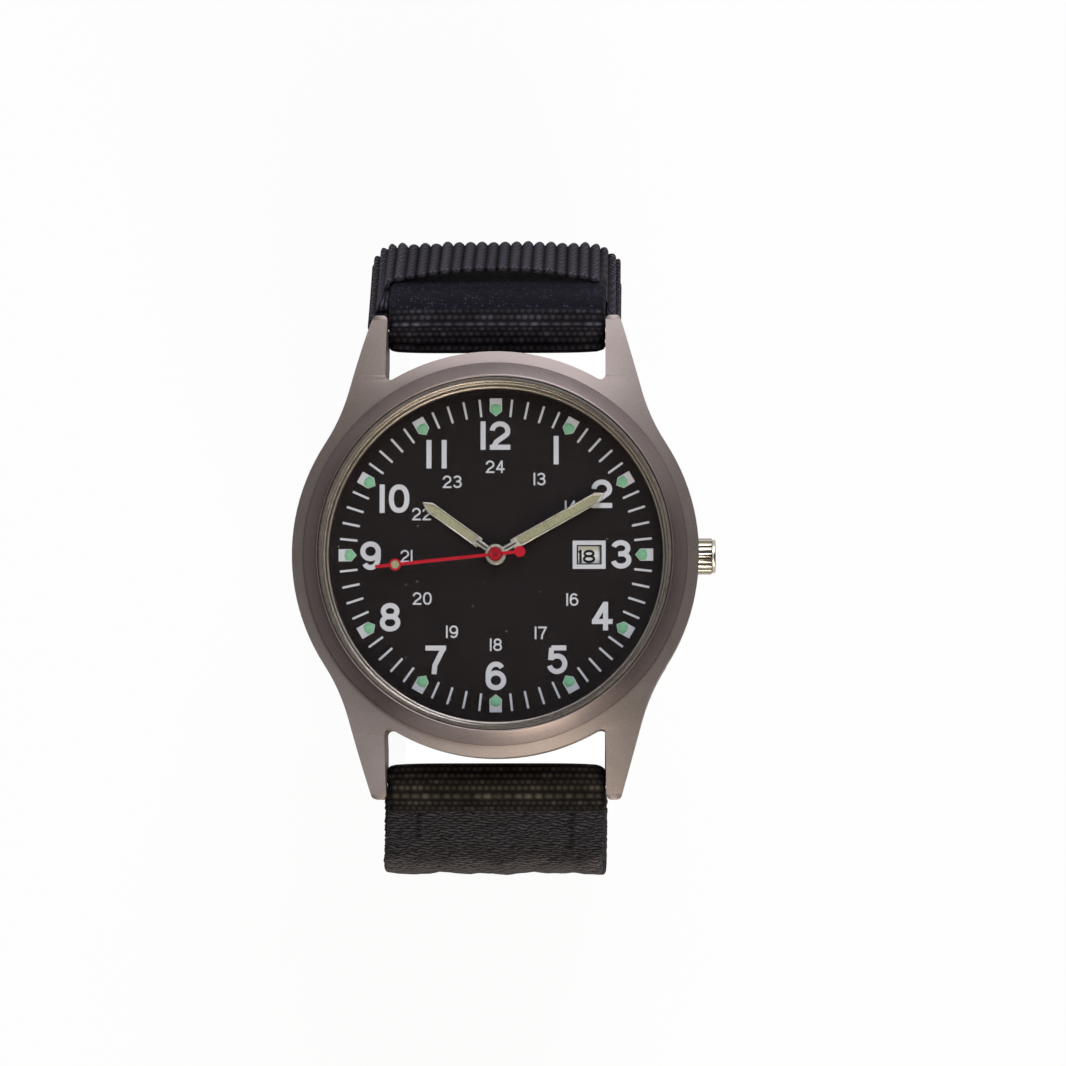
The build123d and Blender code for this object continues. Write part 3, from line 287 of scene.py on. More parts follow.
# %% Metals and plastics
case_low, case_high = (0.208, 0.174, 0.157, 1), (0.272, 0.228, 0.206, 1)
bezel_low, bezel_high = (0.17, 0.138, 0.13, 1), (0.206, 0.168, 0.158, 1)
finish = {
    "case_metal": hard("case_metal", case_low, case_high, 0.44, 0.52, 1.0, 5000, 0.25, 0.012),
    "polished_steel": hard(
        "polished_steel", (0.5, 0.465, 0.385, 1), (0.6, 0.56, 0.47, 1), 0.16, 0.26, 1.0, 2500, 0.03
    ),
    # Painted shade for the hollows of the crown's grooves.
    "crown_groove_shade": hard(
        "crown_groove_shade", (0.12, 0.1, 0.075, 1), (0.17, 0.145, 0.11, 1), 0.4, 0.5, 1.0, 2500, 0.03
    ),
    "spring_steel": hard(
        "spring_steel", (0.4, 0.36, 0.28, 1), (0.52, 0.47, 0.38, 1), 0.2, 0.32, 1.0, 2500, 0.05
    ),
    "hand_metal": hard(
        "hand_metal", (0.2, 0.19, 0.16, 1), (0.3, 0.28, 0.235, 1), 0.25, 0.36, 1.0, 3000, 0.05
    ),
    "rehaut_metal": hard(
        "rehaut_metal", (0.15, 0.128, 0.105, 1), (0.22, 0.19, 0.155, 1), 0.3, 0.42, 0.45, 2500, 0.05
    ),
    "brass": hard("brass", (0.5, 0.33, 0.11, 1), (0.62, 0.43, 0.17, 1), 0.25, 0.38, 1.0, 2500),
    "movement_steel": hard(
        "movement_steel", (0.42, 0.41, 0.39, 1), (0.54, 0.53, 0.5, 1), 0.22, 0.36, 1.0, 2500
    ),
    "copper_wire": hard(
        "copper_wire", (0.45, 0.13, 0.05, 1), (0.6, 0.2, 0.08, 1), 0.3, 0.45, 1.0, 3000
    ),
    "black_plastic": hard(
        "black_plastic", (0.012, 0.012, 0.013, 1), (0.02, 0.02, 0.021, 1), 0.4, 0.55
    ),
    "white_plastic": hard("white_plastic", srgb(176, 175, 168), srgb(192, 191, 184), 0.4, 0.5),
    "board_green": hard(
        "board_green", (0.01, 0.07, 0.03, 1), (0.015, 0.1, 0.045, 1), 0.35, 0.5
    ),
    "seconds_red": hard(
        "seconds_red", srgb(168, 20, 36), srgb(186, 26, 44), 0.35, 0.5, 0.0, 3000, 0.05,
        specular=0.15,
    ),
    "red_shade": hard("red_shade", srgb(88, 10, 18), srgb(104, 14, 24), 0.4, 0.5, specular=0.1),
    "hand_lume": hard(
        "hand_lume", srgb(134, 133, 106), srgb(176, 174, 142), 0.7, 0.9, 0.0, 4500, 0.6, 0.03, 0.1
    ),
    "mint_lume": hard(
        "mint_lume", srgb(110, 168, 130), srgb(138, 194, 156), 0.6, 0.8, 0.0, 4000, 0.4, 0.02, 0.15
    ),
    "dial_print": hard(
        "dial_print", srgb(188, 191, 196), srgb(205, 208, 212), 0.5, 0.7, 0.0, 6000, 0.2,
        specular=0.2,
    ),
    "date_disc": hard(
        "date_disc", srgb(226, 228, 221), srgb(238, 240, 233), 0.4, 0.5, specular=0.2
    ),
    "date_print": hard("date_print", srgb(20, 20, 22), srgb(34, 34, 36), 0.5, 0.7, specular=0.1),
}

case_stretch, bezel_stretch = 0.7, 0.5
case_tree = finish["case_metal"].node_tree
turned_lobe(case_tree, case_tree.nodes["Principled BSDF"], case_stretch)
print("hard finishes", len(finish))

# %% [markdown]
# The bezel's finish is grain as well, under fine turned rings that darken and lift it. The rings
# and the stretched highlight together give the soft wedges of light that turned metal shows.

# %% Bezel metal
bezel_metal, tree, shader = material("bezel_metal")
turned_lobe(tree, shader, bezel_stretch)
place = object_place(tree)
speckle = use_effect(
    tree, grain, Place=place, Scale=4000.0, Low=bezel_low, High=bezel_high, Smooth=0.34, Rough=0.42
)
ring_pitch, ring_depth, ring_bump = 0.06 * mm, 0.01 * mm, 0.25
lines = use_effect(tree, rings, Place=place, Pitch=ring_pitch)
relief = node(
    tree,
    "ShaderNodeBump",
    {"Strength": ring_bump, "Distance": ring_depth, "Height": lines.outputs[0]},
)
streak_dark, streak_light = (0.9, 0.9, 0.9, 1), (1.1, 1.1, 1.1, 1)
streak = blend_colour(tree, lines.outputs[0], streak_dark, streak_light)
streaked = blend_colour(tree, 1.0, speckle.outputs["Color"], streak, "MULTIPLY")
tree.links.new(streaked, shader.inputs["Base Color"])
tree.links.new(speckle.outputs["Roughness"], shader.inputs["Roughness"])
tree.links.new(relief.outputs[0], shader.inputs["Normal"])
shader.inputs["Metallic"].default_value = 1.0
finish["bezel_metal"] = bezel_metal
print("ring pitch", round(ring_pitch / mm, 2), "mm")

# %% [markdown]
# The dial is matt black paint with a little dust. Dust is a sparse pattern: the cells of a
# Voronoi texture whose random colour is nearly white, cut down to a small spot in each.

# %% Dial paint
dial_black, tree, shader = material("dial_black")
place = object_place(tree)
speckle = use_effect(
    tree,
    grain,
    Place=place,
    Scale=5000.0,
    Low=(0.0068, 0.0048, 0.0048, 1),
    High=(0.0104, 0.0076, 0.0076, 1),
    Smooth=0.5,
    Rough=0.7,
)
cells_per_metre, empty_share, speck_radius = 900.0, 0.86, 0.085
dust_colour = (0.15, 0.14, 0.13, 1)
cells = node(tree, "ShaderNodeTexVoronoi", {"Vector": place, "Scale": cells_per_metre})
cell_value = node(tree, "ShaderNodeSeparateColor", {0: cells.outputs[1]}).outputs[0]
chosen = calc(tree, "GREATER_THAN", cell_value, empty_share)
small = calc(tree, "LESS_THAN", cells.outputs[0], speck_radius)
dust = calc(tree, "MULTIPLY", chosen, small)
paint = blend_colour(tree, dust, speckle.outputs["Color"], dust_colour)
tree.links.new(paint, shader.inputs["Base Color"])
tree.links.new(speckle.outputs["Roughness"], shader.inputs["Roughness"])
shader.inputs["Specular IOR Level"].default_value = 0.06
finish["dial_black"] = dial_black
print("one cell in", round(1 / (1 - empty_share)), "holds dust")

# %% [markdown]
# The crystal must show the dial clearly. A low index keeps its own reflection faint, and shadow
# rays pass straight through, so that the dial is lit as if the glass weren't there. The gasket
# is a frosted clear ring that scatters the light.

# %% Clear materials
crystal_index = 1.06
crystal_glass, tree, shader = material("crystal_glass")
smudge = node(tree, "ShaderNodeTexNoise", {"Vector": object_place(tree), "Scale": 300.0})
shader.inputs["Base Color"].default_value = (1, 1, 1, 1)
shader.inputs["Transmission Weight"].default_value = 1.0
shader.inputs["IOR"].default_value = crystal_index
tree.links.new(
    node(tree, "ShaderNodeMapRange", {0: smudge.outputs[0], 3: 0.0, 4: 0.01}).outputs[0],
    shader.inputs["Roughness"],
)
through = node(tree, "ShaderNodeBsdfTransparent")
rays = node(tree, "ShaderNodeLightPath").outputs
unseen = calc(tree, "MAXIMUM", rays["Is Shadow Ray"], rays["Is Diffuse Ray"])
either = node(tree, "ShaderNodeMixShader", {0: unseen, 1: shader.outputs[0], 2: through.outputs[0]})
tree.links.new(either.outputs[0], tree.nodes["Material Output"].inputs[0])
finish["crystal_glass"] = crystal_glass

clear_gasket, tree, shader = material("clear_gasket")
speckle = use_effect(
    tree,
    grain,
    Place=object_place(tree),
    Scale=2500.0,
    Low=(0.05, 0.042, 0.034, 1),
    High=(0.13, 0.112, 0.092, 1),
    Smooth=0.25,
    Rough=0.45,
)
tree.links.new(speckle.outputs["Color"], shader.inputs["Base Color"])
tree.links.new(speckle.outputs["Roughness"], shader.inputs["Roughness"])
shader.inputs["Specular IOR Level"].default_value = 0.4
finish["clear_gasket"] = clear_gasket
print("finishes", len(finish))


# %% [markdown]
# ## Woven nylon
# Webbing is thread over thread. Its pattern follows the strap, so it reads the piece's own UV
# map, in millimetres across and along. Each weft thread is a ridge across the strap, and the
# warp threads over it cut the ridge into short beads that step sideways from row to row.

# %% Woven nylon
weave, start, end = effect(
    "weave",
    [
        ("Place", vector, None),
        ("Along", number, 0.33),
        ("Across", number, 0.3),
        ("Wander", number, 0.08),
    ],
    [("Height", number)],
)
axes = node(weave, "ShaderNodeSeparateXYZ", {0: start.outputs["Place"]})
wander = node(
    weave, "ShaderNodeTexNoise", {"Vector": start.outputs["Place"], "Scale": 0.8, "Detail": 2.0}
).outputs[0]
# Each row's beads start a little further on than the last row's, as in a twill.
row_step, bead_weight = 0.381, 0.62
shift = calc(weave, "MULTIPLY", wander, start.outputs["Wander"])
row_place = calc(
    weave, "DIVIDE", calc(weave, "ADD", axes.outputs[1], shift), start.outputs["Along"]
)
row_number = calc(weave, "FLOOR", row_place)
ridge = calc(weave, "ABSOLUTE", calc(weave, "SINE", calc(weave, "MULTIPLY", row_place, pi)))
bead_place = calc(
    weave,
    "ADD",
    calc(weave, "DIVIDE", axes.outputs[0], start.outputs["Across"]),
    calc(weave, "MULTIPLY_ADD", row_number, row_step, calc(weave, "MULTIPLY", shift, 2.0)),
)
bead = calc(weave, "ABSOLUTE", calc(weave, "SINE", calc(weave, "MULTIPLY", bead_place, pi)))
bead_height = calc(weave, "MULTIPLY_ADD", bead, bead_weight, 1 - bead_weight)
height = calc(weave, "MULTIPLY", ridge, bead_height)
weave.links.new(height, end.inputs["Height"])
print("weave sockets", [socket.name for socket in weave.interface.items_tree])


# %% [markdown]
# A cloth finish is the weave between a dark colour for the gaps and a lighter one for the thread
# crowns: the dark gaps are painted shade and the light crowns painted highlight. An attribute of
# the mesh, "pale", lightens or darkens whole rows and stitches, partly because a strap is never
# one even colour and partly as painted light and shade. On the pile some cells of a Voronoi
# texture are painted lighter, as glints of light.

# %% Cloth finishes
cloth_specular, cloth_rough, cloth_sheen, sheen_rough = 0.05, 0.62, 0.015, 0.5
thread_bump, thread_depth = 0.7, 0.12 * mm
fuzz_scale, fuzz_height = 9.0, 0.35
fleck_scale, fleck_radius, plain_share = 2.9, 0.36, 0.62


def flecks(tree, place):
    """A mask of small spots, in some of a Voronoi texture's cells, where glints are painted."""
    cells = node(tree, "ShaderNodeTexVoronoi", {"Vector": place, "Scale": fleck_scale})
    cell_value = node(tree, "ShaderNodeSeparateColor", {0: cells.outputs[1]}).outputs[0]
    chosen = calc(tree, "GREATER_THAN", cell_value, plain_share)
    return calc(tree, "MULTIPLY", chosen, calc(tree, "LESS_THAN", cells.outputs[0], fleck_radius))


def cloth(name, low, high, along, across, wander, glint_strength=0.0, crest=1.0):
    """Woven threads from the piece's UV map, along and across in its millimetres or threads."""
    made, tree, shader = material(name)
    place = node(tree, "ShaderNodeUVMap", uv_map="woven").outputs[0]
    threads = use_effect(tree, weave, Place=place, Along=along, Across=across, Wander=wander)
    fuzz = node(tree, "ShaderNodeTexNoise", {"Vector": place, "Scale": fuzz_scale, "Detail": 6.0})
    peak = calc(tree, "POWER", threads.outputs["Height"], crest)
    crown = calc(tree, "MULTIPLY", peak, fuzz.outputs[0])
    reach = node(tree, "ShaderNodeMapRange", {0: crown, 1: 0.08, 2: 0.5}).outputs[0]
    pale = node(tree, "ShaderNodeAttribute", attribute_name="pale").outputs["Fac"]
    level = calc(tree, "ADD", 1.0, pale)
    # Painted glints: small spots on the pile are lightened.
    if glint_strength:
        level = calc(tree, "MULTIPLY_ADD", flecks(tree, place), glint_strength, level)
    # Painted shade in the gaps between threads and painted highlight on their crowns.
    thread_colour_with_painted_shade = blend_colour(tree, reach, low, high)
    tint = node(
        tree, "ShaderNodeVectorMath", {0: thread_colour_with_painted_shade, "Scale": level}, operation="SCALE"
    )
    tree.links.new(tint.outputs[0], shader.inputs["Base Color"])
    relief = calc(tree, "MULTIPLY_ADD", fuzz.outputs[0], fuzz_height, threads.outputs["Height"])
    lift = node(
        tree,
        "ShaderNodeBump",
        {"Strength": thread_bump, "Distance": thread_depth, "Height": relief},
    )
    tree.links.new(lift.outputs[0], shader.inputs["Normal"])
    shader.inputs["Roughness"].default_value = cloth_rough
    shader.inputs["Specular IOR Level"].default_value = cloth_specular
    shader.inputs["Sheen Weight"].default_value = cloth_sheen
    shader.inputs["Sheen Roughness"].default_value = sheen_rough
    return made


for name, low, high, along, across, wander, more in (
    ("strap_nylon", srgb(12, 9, 9), srgb(72, 69, 71), 0.26, 1.5, 0.8, {}),
    ("strap_rows", srgb(18, 15, 13), srgb(54, 49, 42), 1.0, 0.66, 0.1, {"crest": 1.5}),
    ("strap_tab", srgb(19, 17, 21), srgb(58, 54, 59), 1.0, 0.7, 0.1, {"crest": 1.5}),
    ("strap_pile", srgb(15, 13, 19), srgb(34, 31, 41), 0.3, 0.28, 0.5, {"glint_strength": 3.6}),
    ("keeper_nylon", srgb(24, 21, 26), srgb(84, 78, 86), 0.42, 0.6, 0.1, {}),
    ("closure_nylon", srgb(10, 10, 12), srgb(40, 40, 46), 0.5, 0.5, 0.2, {}),
):
    finish[name] = cloth(name, low, high, along, across, wander, **more)
print("finishes", len(finish))


# %% [markdown]
# ## Mesh tools
# A finished bmesh becomes a piece with its finish, chosen by its slot unless another is named,
# and the body it rides on. Turned pieces are a half section spun about the axis, with small
# rounds at its corners.

# %% Mesh tools
def show(name, bm, body, slot, finish_name=None, smooth=35, replaces=(), weighted=False):
    """Turns a finished bmesh into a piece that rides on a body."""
    mesh = bpy.data.meshes.new(name)
    bm.to_mesh(mesh)
    bm.free()
    mesh.materials.append(finish[finish_name or slot])
    mesh.shade_smooth()
    mesh.set_sharp_from_angle(angle=radians(smooth))
    piece = bpy.data.objects.new(name, mesh)
    bpy.context.collection.objects.link(piece)
    if weighted:
        # A large flat face keeps its own normal, and only the rounding beside it turns.
        flat = piece.modifiers.new("flat_faces", "WEIGHTED_NORMAL")
        flat.keep_sharp = True
        flat.weight = 90
    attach(piece, body)
    if replaces:
        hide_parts(*replaces)
    return piece


def rounded(points, steps=3):
    """Rounds the corners of a closed (r, z) outline: each point is (r, z, radius)."""
    made = []
    for i, (r, z, size) in enumerate(points):
        here = Vector((r, z))
        if not size:
            made.append(here)
            continue
        before = (Vector(points[i - 1][:2]) - here).normalized()
        after = (Vector(points[(i + 1) % len(points)][:2]) - here).normalized()
        for k in range(steps + 1):
            t = k / steps
            made.append(here + before * size * (1 - t) ** 2 + after * size * t**2)
    return made


def lathe(outline, steps=288):
    """Spins a closed (r, z) outline about the dial's axis."""
    bm = bmesh.new()
    verts = [bm.verts.new((p[0] * mm, 0, p[1] * mm)) for p in outline]
    edges = [bm.edges.new((a, b)) for a, b in zip(verts, verts[1:] + verts[:1])]
    bmesh.ops.spin(
        bm,
        geom=verts + edges,
        cent=(0, 0, 0),
        axis=(0, 0, 1),
        angle=2 * pi,
        steps=steps,
        use_merge=True,
    )
    bmesh.ops.remove_doubles(bm, verts=bm.verts, dist=1e-7)
    bmesh.ops.recalc_face_normals(bm, faces=bm.faces)
    return bm


def share(value):
    """The value kept between nothing and all."""
    return min(1, max(0, value))


print("mesh tools ready")


# %% [markdown]
# Stamped pieces start from the exact CAD mesh: a copy is merged, its flat faces are joined, and
# its sharp edges get the small rounding that catches the light.

# %% Merged copies
def merged_copy(name, width, segments=2, angle=30):
    """A node's mesh merged, with its flat faces joined and its sharp edges rounded."""
    bm = bmesh.new()
    bm.from_mesh(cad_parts[name].data)
    bmesh.ops.remove_doubles(bm, verts=bm.verts, dist=2e-6)
    bmesh.ops.dissolve_limit(bm, angle_limit=radians(0.6), verts=bm.verts, edges=bm.edges)
    bmesh.ops.recalc_face_normals(bm, faces=bm.faces)
    sharp = [e for e in bm.edges if len(e.link_faces) == 2 and e.calc_face_angle() > radians(angle)]
    bmesh.ops.bevel(
        bm,
        geom=sharp,
        offset=width * mm,
        segments=segments,
        profile=0.5,
        affect="EDGES",
        material=-1,
        clamp_overlap=True,
    )
    return bm


print("merged copies ready")

# %% [markdown]
# The case and the metal hands are such copies. Two corrections follow on the case's shading
# normals. The blasted lug tops look evenly grey, so their shading hardly follows their curve. The
# turned ring inside them looks slightly crowned, as its bright upper and lower ends show.

# %% Case and metal hands
lug_start, lug_fade = 16, 1.5
ring_end, ring_fade = 23.5, 3
lean_aside, lean_along = 0.085, 0.28


def level_lugs(piece):
    """Sets the case's shading normals, on a copy of its finished mesh."""
    settled = piece.evaluated_get(bpy.context.evaluated_depsgraph_get())
    mesh = bpy.data.meshes.new_from_object(settled)
    normals = []
    for corner, normal in zip(mesh.loops, mesh.corner_normals):
        turned_up = normal.vector.copy()
        place = mesh.vertices[corner.vertex_index].co / mm
        upward = share((turned_up.z - 0.4) / 0.25)
        turned_up.y *= 1 - 0.9 * upward * share((abs(place.y) - lug_start) / lug_fade)
        across = hypot(place.x, place.y)
        crown = upward * share((ring_end - across) / ring_fade)
        turned_up.x += lean_aside * crown * (place.x / across) ** 3
        turned_up.y += lean_along * crown * (place.y / across) ** 7
        normals.append(turned_up.normalized())
    mesh.normals_split_custom_set(normals)
    piece.modifiers.clear()
    piece.data = mesh


stamped = {
    "case_middle": ("case", "case_metal", 0.1),
    "hour_hand": ("hours", "hand_metal", 0.07),
    "minute_hand": ("minutes", "hand_metal", 0.07),
    "seconds_hand": ("seconds", "seconds_red", 0.05),
}
for name, (body, slot, width) in stamped.items():
    merged = merged_copy(name, width)
    made = show(name + "_body", merged, body, slot, replaces=[name], weighted=True)
    if name == "case_middle":
        level_lugs(made)
    print(name, len(made.data.polygons), "faces")

# %% [markdown]
# ## Bezel, crystal, gasket and rehaut
# These are turned rings. The bezel's cone keeps a crisp foot where a dark joint line shows, and
# a thin rounded inner edge that shines. The rehaut is the sloping wall between dial and crystal.

# %% Turned rings
dial_top, seat_z, crystal_top = 51.3, 53.0, 54.85
bezel_inner, bezel_outer, bezel_top, bezel_side_top = 17.62, 19.15, 54.7, 53.42
crystal_radius, rehaut_outer = 17.2, 17.35

bezel_outline = [
    (bezel_inner, seat_z, 0),
    (bezel_outer - 0.03, seat_z, 0.06),
    (bezel_outer, bezel_side_top, 0.1),
    (bezel_inner + 0.16, bezel_top, 0.1),
    (bezel_inner, bezel_top - 0.04, 0.05),
]
bezel = lathe(rounded(bezel_outline))
show("bezel_ring", bezel, "case", "bezel_metal", replaces=["bezel"])

crystal_outline = [
    (0, seat_z, 0),
    (crystal_radius, seat_z, 0.08),
    (crystal_radius, crystal_top, 0.14),
    (0, crystal_top, 0),
]
crystal = lathe(rounded(crystal_outline))
show("crystal_disc", crystal, "case", "crystal_glass", smooth=50, replaces=["crystal"])

gasket_outline = [
    (crystal_radius + 0.02, seat_z + 0.02, 0),
    (bezel_inner - 0.04, seat_z + 0.02, 0),
    (bezel_inner - 0.04, bezel_top - 0.12, 0.1),
    (crystal_radius + 0.02, bezel_top - 0.1, 0.1),
]
gasket = lathe(rounded(gasket_outline))
show("gasket_ring", gasket, "case", "clear_gasket", replaces=["crystal_gasket"])

# The wall has two small steps, which catch thin rings of light.
rehaut_outline = [
    (rehaut_outer, dial_top, 0),
    (rehaut_outer, seat_z - 0.04, 0),
    (17.18, seat_z - 0.04, 0.04),
    (17.14, 52.7, 0.03),
    (16.98, 52.66, 0.03),
    (16.86, 51.75, 0.03),
    (16.7, 51.7, 0.03),
    (16.66, dial_top, 0),
]
rehaut = lathe(rounded(rehaut_outline))
show("rehaut_wall", rehaut, "case", "rehaut_metal", replaces=["rehaut_ring"])
print("bezel", round(2 * bezel_outer, 1), "mm over")


# %% [markdown]
# ## Numerals
# Printed numerals are strokes of one width. Each digit is a few centre-lines, arcs and straight
# runs, and a ribbon is laid along them. Drawing them this way gives the bare bar of the 1 and
# the round bowls of the photograph, which a font wouldn't.

# %% Numerals
def arc(cx, cy, rx, ry, first, last, steps=20, power=2.0):
    """Points on an ellipse, or a squarer oval where power is over 2."""
    made = []
    for k in range(steps + 1):
        a = radians(first + (last - first) * k / steps)
        x, y = cos(a), sin(a)
        x = abs(x) ** (2 / power) * (1 if x > 0 else -1)
        y = abs(y) ** (2 / power) * (1 if y > 0 else -1)
        made.append((cx + rx * x, cy + ry * y))
    return made


def digit_strokes(digit, width, height, stroke):
    """The centre-lines of one digit, about its middle."""
    a, b = (width - stroke) / 2, (height - stroke) / 2
    w, h = width / 2, height / 2
    low, high = b * 0.54, b * 0.48
    if digit == "0":
        return [arc(0, 0, a, b, 0, 360, 48, 2.3)]
    if digit == "1":
        return [[(0, -h), (0, h)]]
    if digit == "flagged 1":
        return [[(0, -h), (0, h)], [(0, h - stroke * 0.6), (-stroke * 0.75, h - stroke * 1.15)]]
    if digit == "2":
        bowl = arc(0, b - high * 1.25, a, high * 1.25, 178, -32, 24)
        return [bowl + [(-a * 0.45, -b * 0.52), (-a * 0.85, -b * 0.98)], [(-w, -b), (w, -b)]]
    if digit == "3":
        upper = arc(-a * 0.04, b - high, a * 0.92, high, 165, -90, 24)
        lower = arc(0, -b + low, a, low, 90, -168, 28)
        return [upper, lower, [(-a * 0.35, b - 2 * high), (a * 0.1, b - 2 * high)]]
    if digit == "4":
        post = a * 0.42
        bar = -b * 0.46
        slant = [(post - stroke * 0.1, h - stroke * 0.4), (-a, bar + stroke * 0.1)]
        return [[(post, -h), (post, h)], [(-w, bar), (w, bar)], slant]
    if digit == "5":
        bowl = arc(0, -b + low * 1.22, a, low * 1.22, 142, -165, 28)
        return [[(-a * 0.72, b), (w * 0.9, b)], [(-a * 0.68, b), (-a * 0.84, -b * 0.02)], bowl]
    if digit in "69":
        bowl = arc(0, -b + low * 1.16, a, low * 1.16, 0, 360, 40)
        stem = arc(0, 0, a, b, 190, 42, 28, 2.2)
        lines = [bowl, stem]
        return lines if digit == "6" else [[(-x, -y) for x, y in line] for line in lines]
    if digit == "7":
        stem = [(a * 0.98, b * 0.98), (a * 0.25, 0), (-a * 0.1, -b * 0.45), (-a * 0.22, -h)]
        return [[(-w, b), (w, b)], stem]
    upper = arc(0, b - high, a * 0.88, high, 0, 360, 36)
    return [upper, arc(0, -b + low, a, low, 0, 360, 40)]


print("a 3 takes", len(digit_strokes("3", 2, 3, 0.5)), "strokes")


# %% [markdown]
# A ribbon is two rows of vertices, one on each side of the centre-line, bridged and drawn up to a
# thin print. At a corner they move further out, so that the strip keeps its width.

# %% Printed strokes
def ribbon(bm, line, stroke, z, thickness, place):
    """Lays a flat strip of one width along a centre-line and gives it thickness."""
    closed = hypot(line[0][0] - line[-1][0], line[0][1] - line[-1][1]) < 1e-6
    points = [Vector(p) for p in (line[:-1] if closed else line)]
    count = len(points)
    sides = ([], [])
    for i, point in enumerate(points):
        before = points[i - 1] if closed or i else point
        after = points[(i + 1) % count] if closed or i < count - 1 else point
        into = (point - before if before is not point else after - point).normalized()
        out = (after - point).normalized() if after is not point else into
        along = (into + out).normalized()
        reach = stroke / 2 / max(0.5, along.dot(out))
        normal = Vector((-along.y, along.x)) * reach
        for side, corner in zip(sides, (point + normal, point - normal)):
            spot = place @ Vector((corner.x, corner.y, 0))
            side.append(bm.verts.new((spot.x * mm, spot.y * mm, z * mm)))
    chains = []
    for side in sides:
        pairs = list(zip(side, side[1:] + side[:1])) if closed else list(zip(side, side[1:]))
        chains += [bm.edges.new(pair) for pair in pairs]
    faces = bmesh.ops.bridge_loops(bm, edges=chains)["faces"]
    solid = bmesh.ops.extrude_face_region(bm, geom=faces)["geom"]
    verts = [v for v in solid if isinstance(v, bmesh.types.BMVert)]
    bmesh.ops.translate(bm, verts=verts, vec=(0, 0, thickness * mm))


def number_print(bm, text, x, y, letter, z, turn=0.0, thickness=0.02, flags=False):
    """Prints a number about (x, y). A 1 is a bare bar, so it takes only its stroke."""
    height, stroke, width, gap = letter
    # Strokes that cross lie on slightly different levels.
    layer_step = 0.002
    widths = [stroke if c == "1" else width for c in text]
    at = -(sum(widths) + gap * (len(text) - 1)) / 2
    place = Matrix.Translation((x, y, 0)) @ Matrix.Rotation(turn, 4, "Z")
    for c, wide in zip(text, widths):
        spot = place @ Matrix.Translation((at + wide / 2, 0, 0))
        shape = "flagged 1" if flags and c == "1" else c
        for layer, line in enumerate(digit_strokes(shape, wide, height, stroke)):
            ribbon(bm, line, stroke, z - layer_step * layer, thickness, spot)
        at += wide + gap


print("number tools ready")

# %% [markdown]
# The hours stand in a large letter and the afternoon hours in a small one. Each number's middle
# is where the photograph has it, since such a dial's rings of figures are never quite even. There
# is no 15, because the date window takes its place.

# %% Dial figures
large = {
    "12": (-0.04, 11.97),
    "1": (6.03, 10.49),
    "2": (10.59, 6.1),
    "3": (12.5, 0.03),
    "4": (10.62, -6.13),
    "5": (6.11, -10.47),
    "6": (0.02, -12.08),
    "7": (-5.98, -10.47),
    "8": (-10.54, -6.21),
    "9": (-12.51, -0.05),
    "10": (-10.13, 5.66),
    "11": (-5.93, 10.11),
}
small = {
    "24": (-0.06, 8.84),
    "13": (4.37, 7.59),
    "14": (7.5, 4.8),
    "16": (7.64, -4.47),
    "17": (4.49, -7.79),
    "18": (0.02, -8.97),
    "19": (-4.36, -7.67),
    "20": (-7.34, -4.34),
    "21": (-8.92, -0.1),
    "22": (-7.42, 4.11),
    "23": (-4.36, 7.34),
}
# Each letter is a height, a stroke, a width and a gap.
large_letter, small_letter = (2.85, 0.5, 2.05, 0.42), (1.25, 0.17, 0.86, 0.17)
wide_letter = (*large_letter[:3], 1.02)
figure_z = dial_top + 0.005
bm = bmesh.new()
for text, (x, y) in large.items():
    letter = wide_letter if text == "11" else large_letter
    number_print(bm, text, x, y, letter, figure_z)
for text, (x, y) in small.items():
    number_print(bm, text, x, y, small_letter, figure_z)
bmesh.ops.recalc_face_normals(bm, faces=bm.faces)
show("dial_numerals", bm, "case", "mint_lume", "dial_print")
print("numerals", len(large) + len(small))


# %% [markdown]
# ## Minute track, date frame and hour marks
# The ticks are printed lines. Each hour mark is a pale five-sided base, pointing inwards, with a
# raised drop of luminous paint that covers its inner half and rises in the middle.

# %% Dial marks
def slab(bm, corners, z, thickness):
    """A flat plate from its corners, in millimetres."""
    face = bm.faces.new([bm.verts.new((x * mm, y * mm, z * mm)) for x, y in corners])
    top = bmesh.ops.extrude_face_region(bm, geom=[face])["geom"]
    verts = [v for v in top if isinstance(v, bmesh.types.BMVert)]
    bmesh.ops.translate(bm, verts=verts, vec=(0, 0, thickness * mm))


def turned(points, angle):
    """Points (x, y) turned about the origin."""
    return [(x * cos(angle) - y * sin(angle), x * sin(angle) + y * cos(angle)) for x, y in points]


def box(low_x, low_y, high_x, high_y):
    """The corners of an upright oblong."""
    return [(low_x, low_y), (high_x, low_y), (high_x, high_y), (low_x, high_y)]


track_inner, track_outer, tick_half = 13.9, 15.65, 0.11
print_z, print_height, frame_height = dial_top + 0.002, 0.02, 0.05
window_x = 9.32
frame_x, frame_y = 1.645, 1.41
opening_x, opening_y = 1.25, 0.98

ticks = bmesh.new()
tick = box(track_inner, -tick_half, track_outer, tick_half)
for minute in range(60):
    if minute % 5:
        slab(ticks, turned(tick, radians(6 * minute)), print_z, print_height)


def window_rim(bm, outer_x, outer_y, inner_x, inner_y, z, thickness):
    """Four bars round the date window, two along it and two between them."""
    for side in (-1, 1):
        bar = box(-outer_x, inner_y, outer_x, outer_y)
        slab(bm, [(window_x + x, side * y) for x, y in bar], z, thickness)
        bar = box(inner_x, -inner_y, outer_x, inner_y)
        slab(bm, [(window_x + side * x, y) for x, y in bar], z, thickness)


window_rim(ticks, frame_x, frame_y, opening_x, opening_y, print_z, frame_height)
bmesh.ops.recalc_face_normals(ticks, faces=ticks.faces)
show("minute_track", ticks, "case", "mint_lume", "dial_print")

# A dark rim inside the window's cut edge, just under the frame, is painted shade.
edge = bmesh.new()
window_rim(edge, opening_x, opening_y, 1.1, 0.85, dial_top - 0.06, 0.04)
bmesh.ops.recalc_face_normals(edge, faces=edge.faces)
show("window_edge_shade", edge, "case", "dial_black", "date_print")

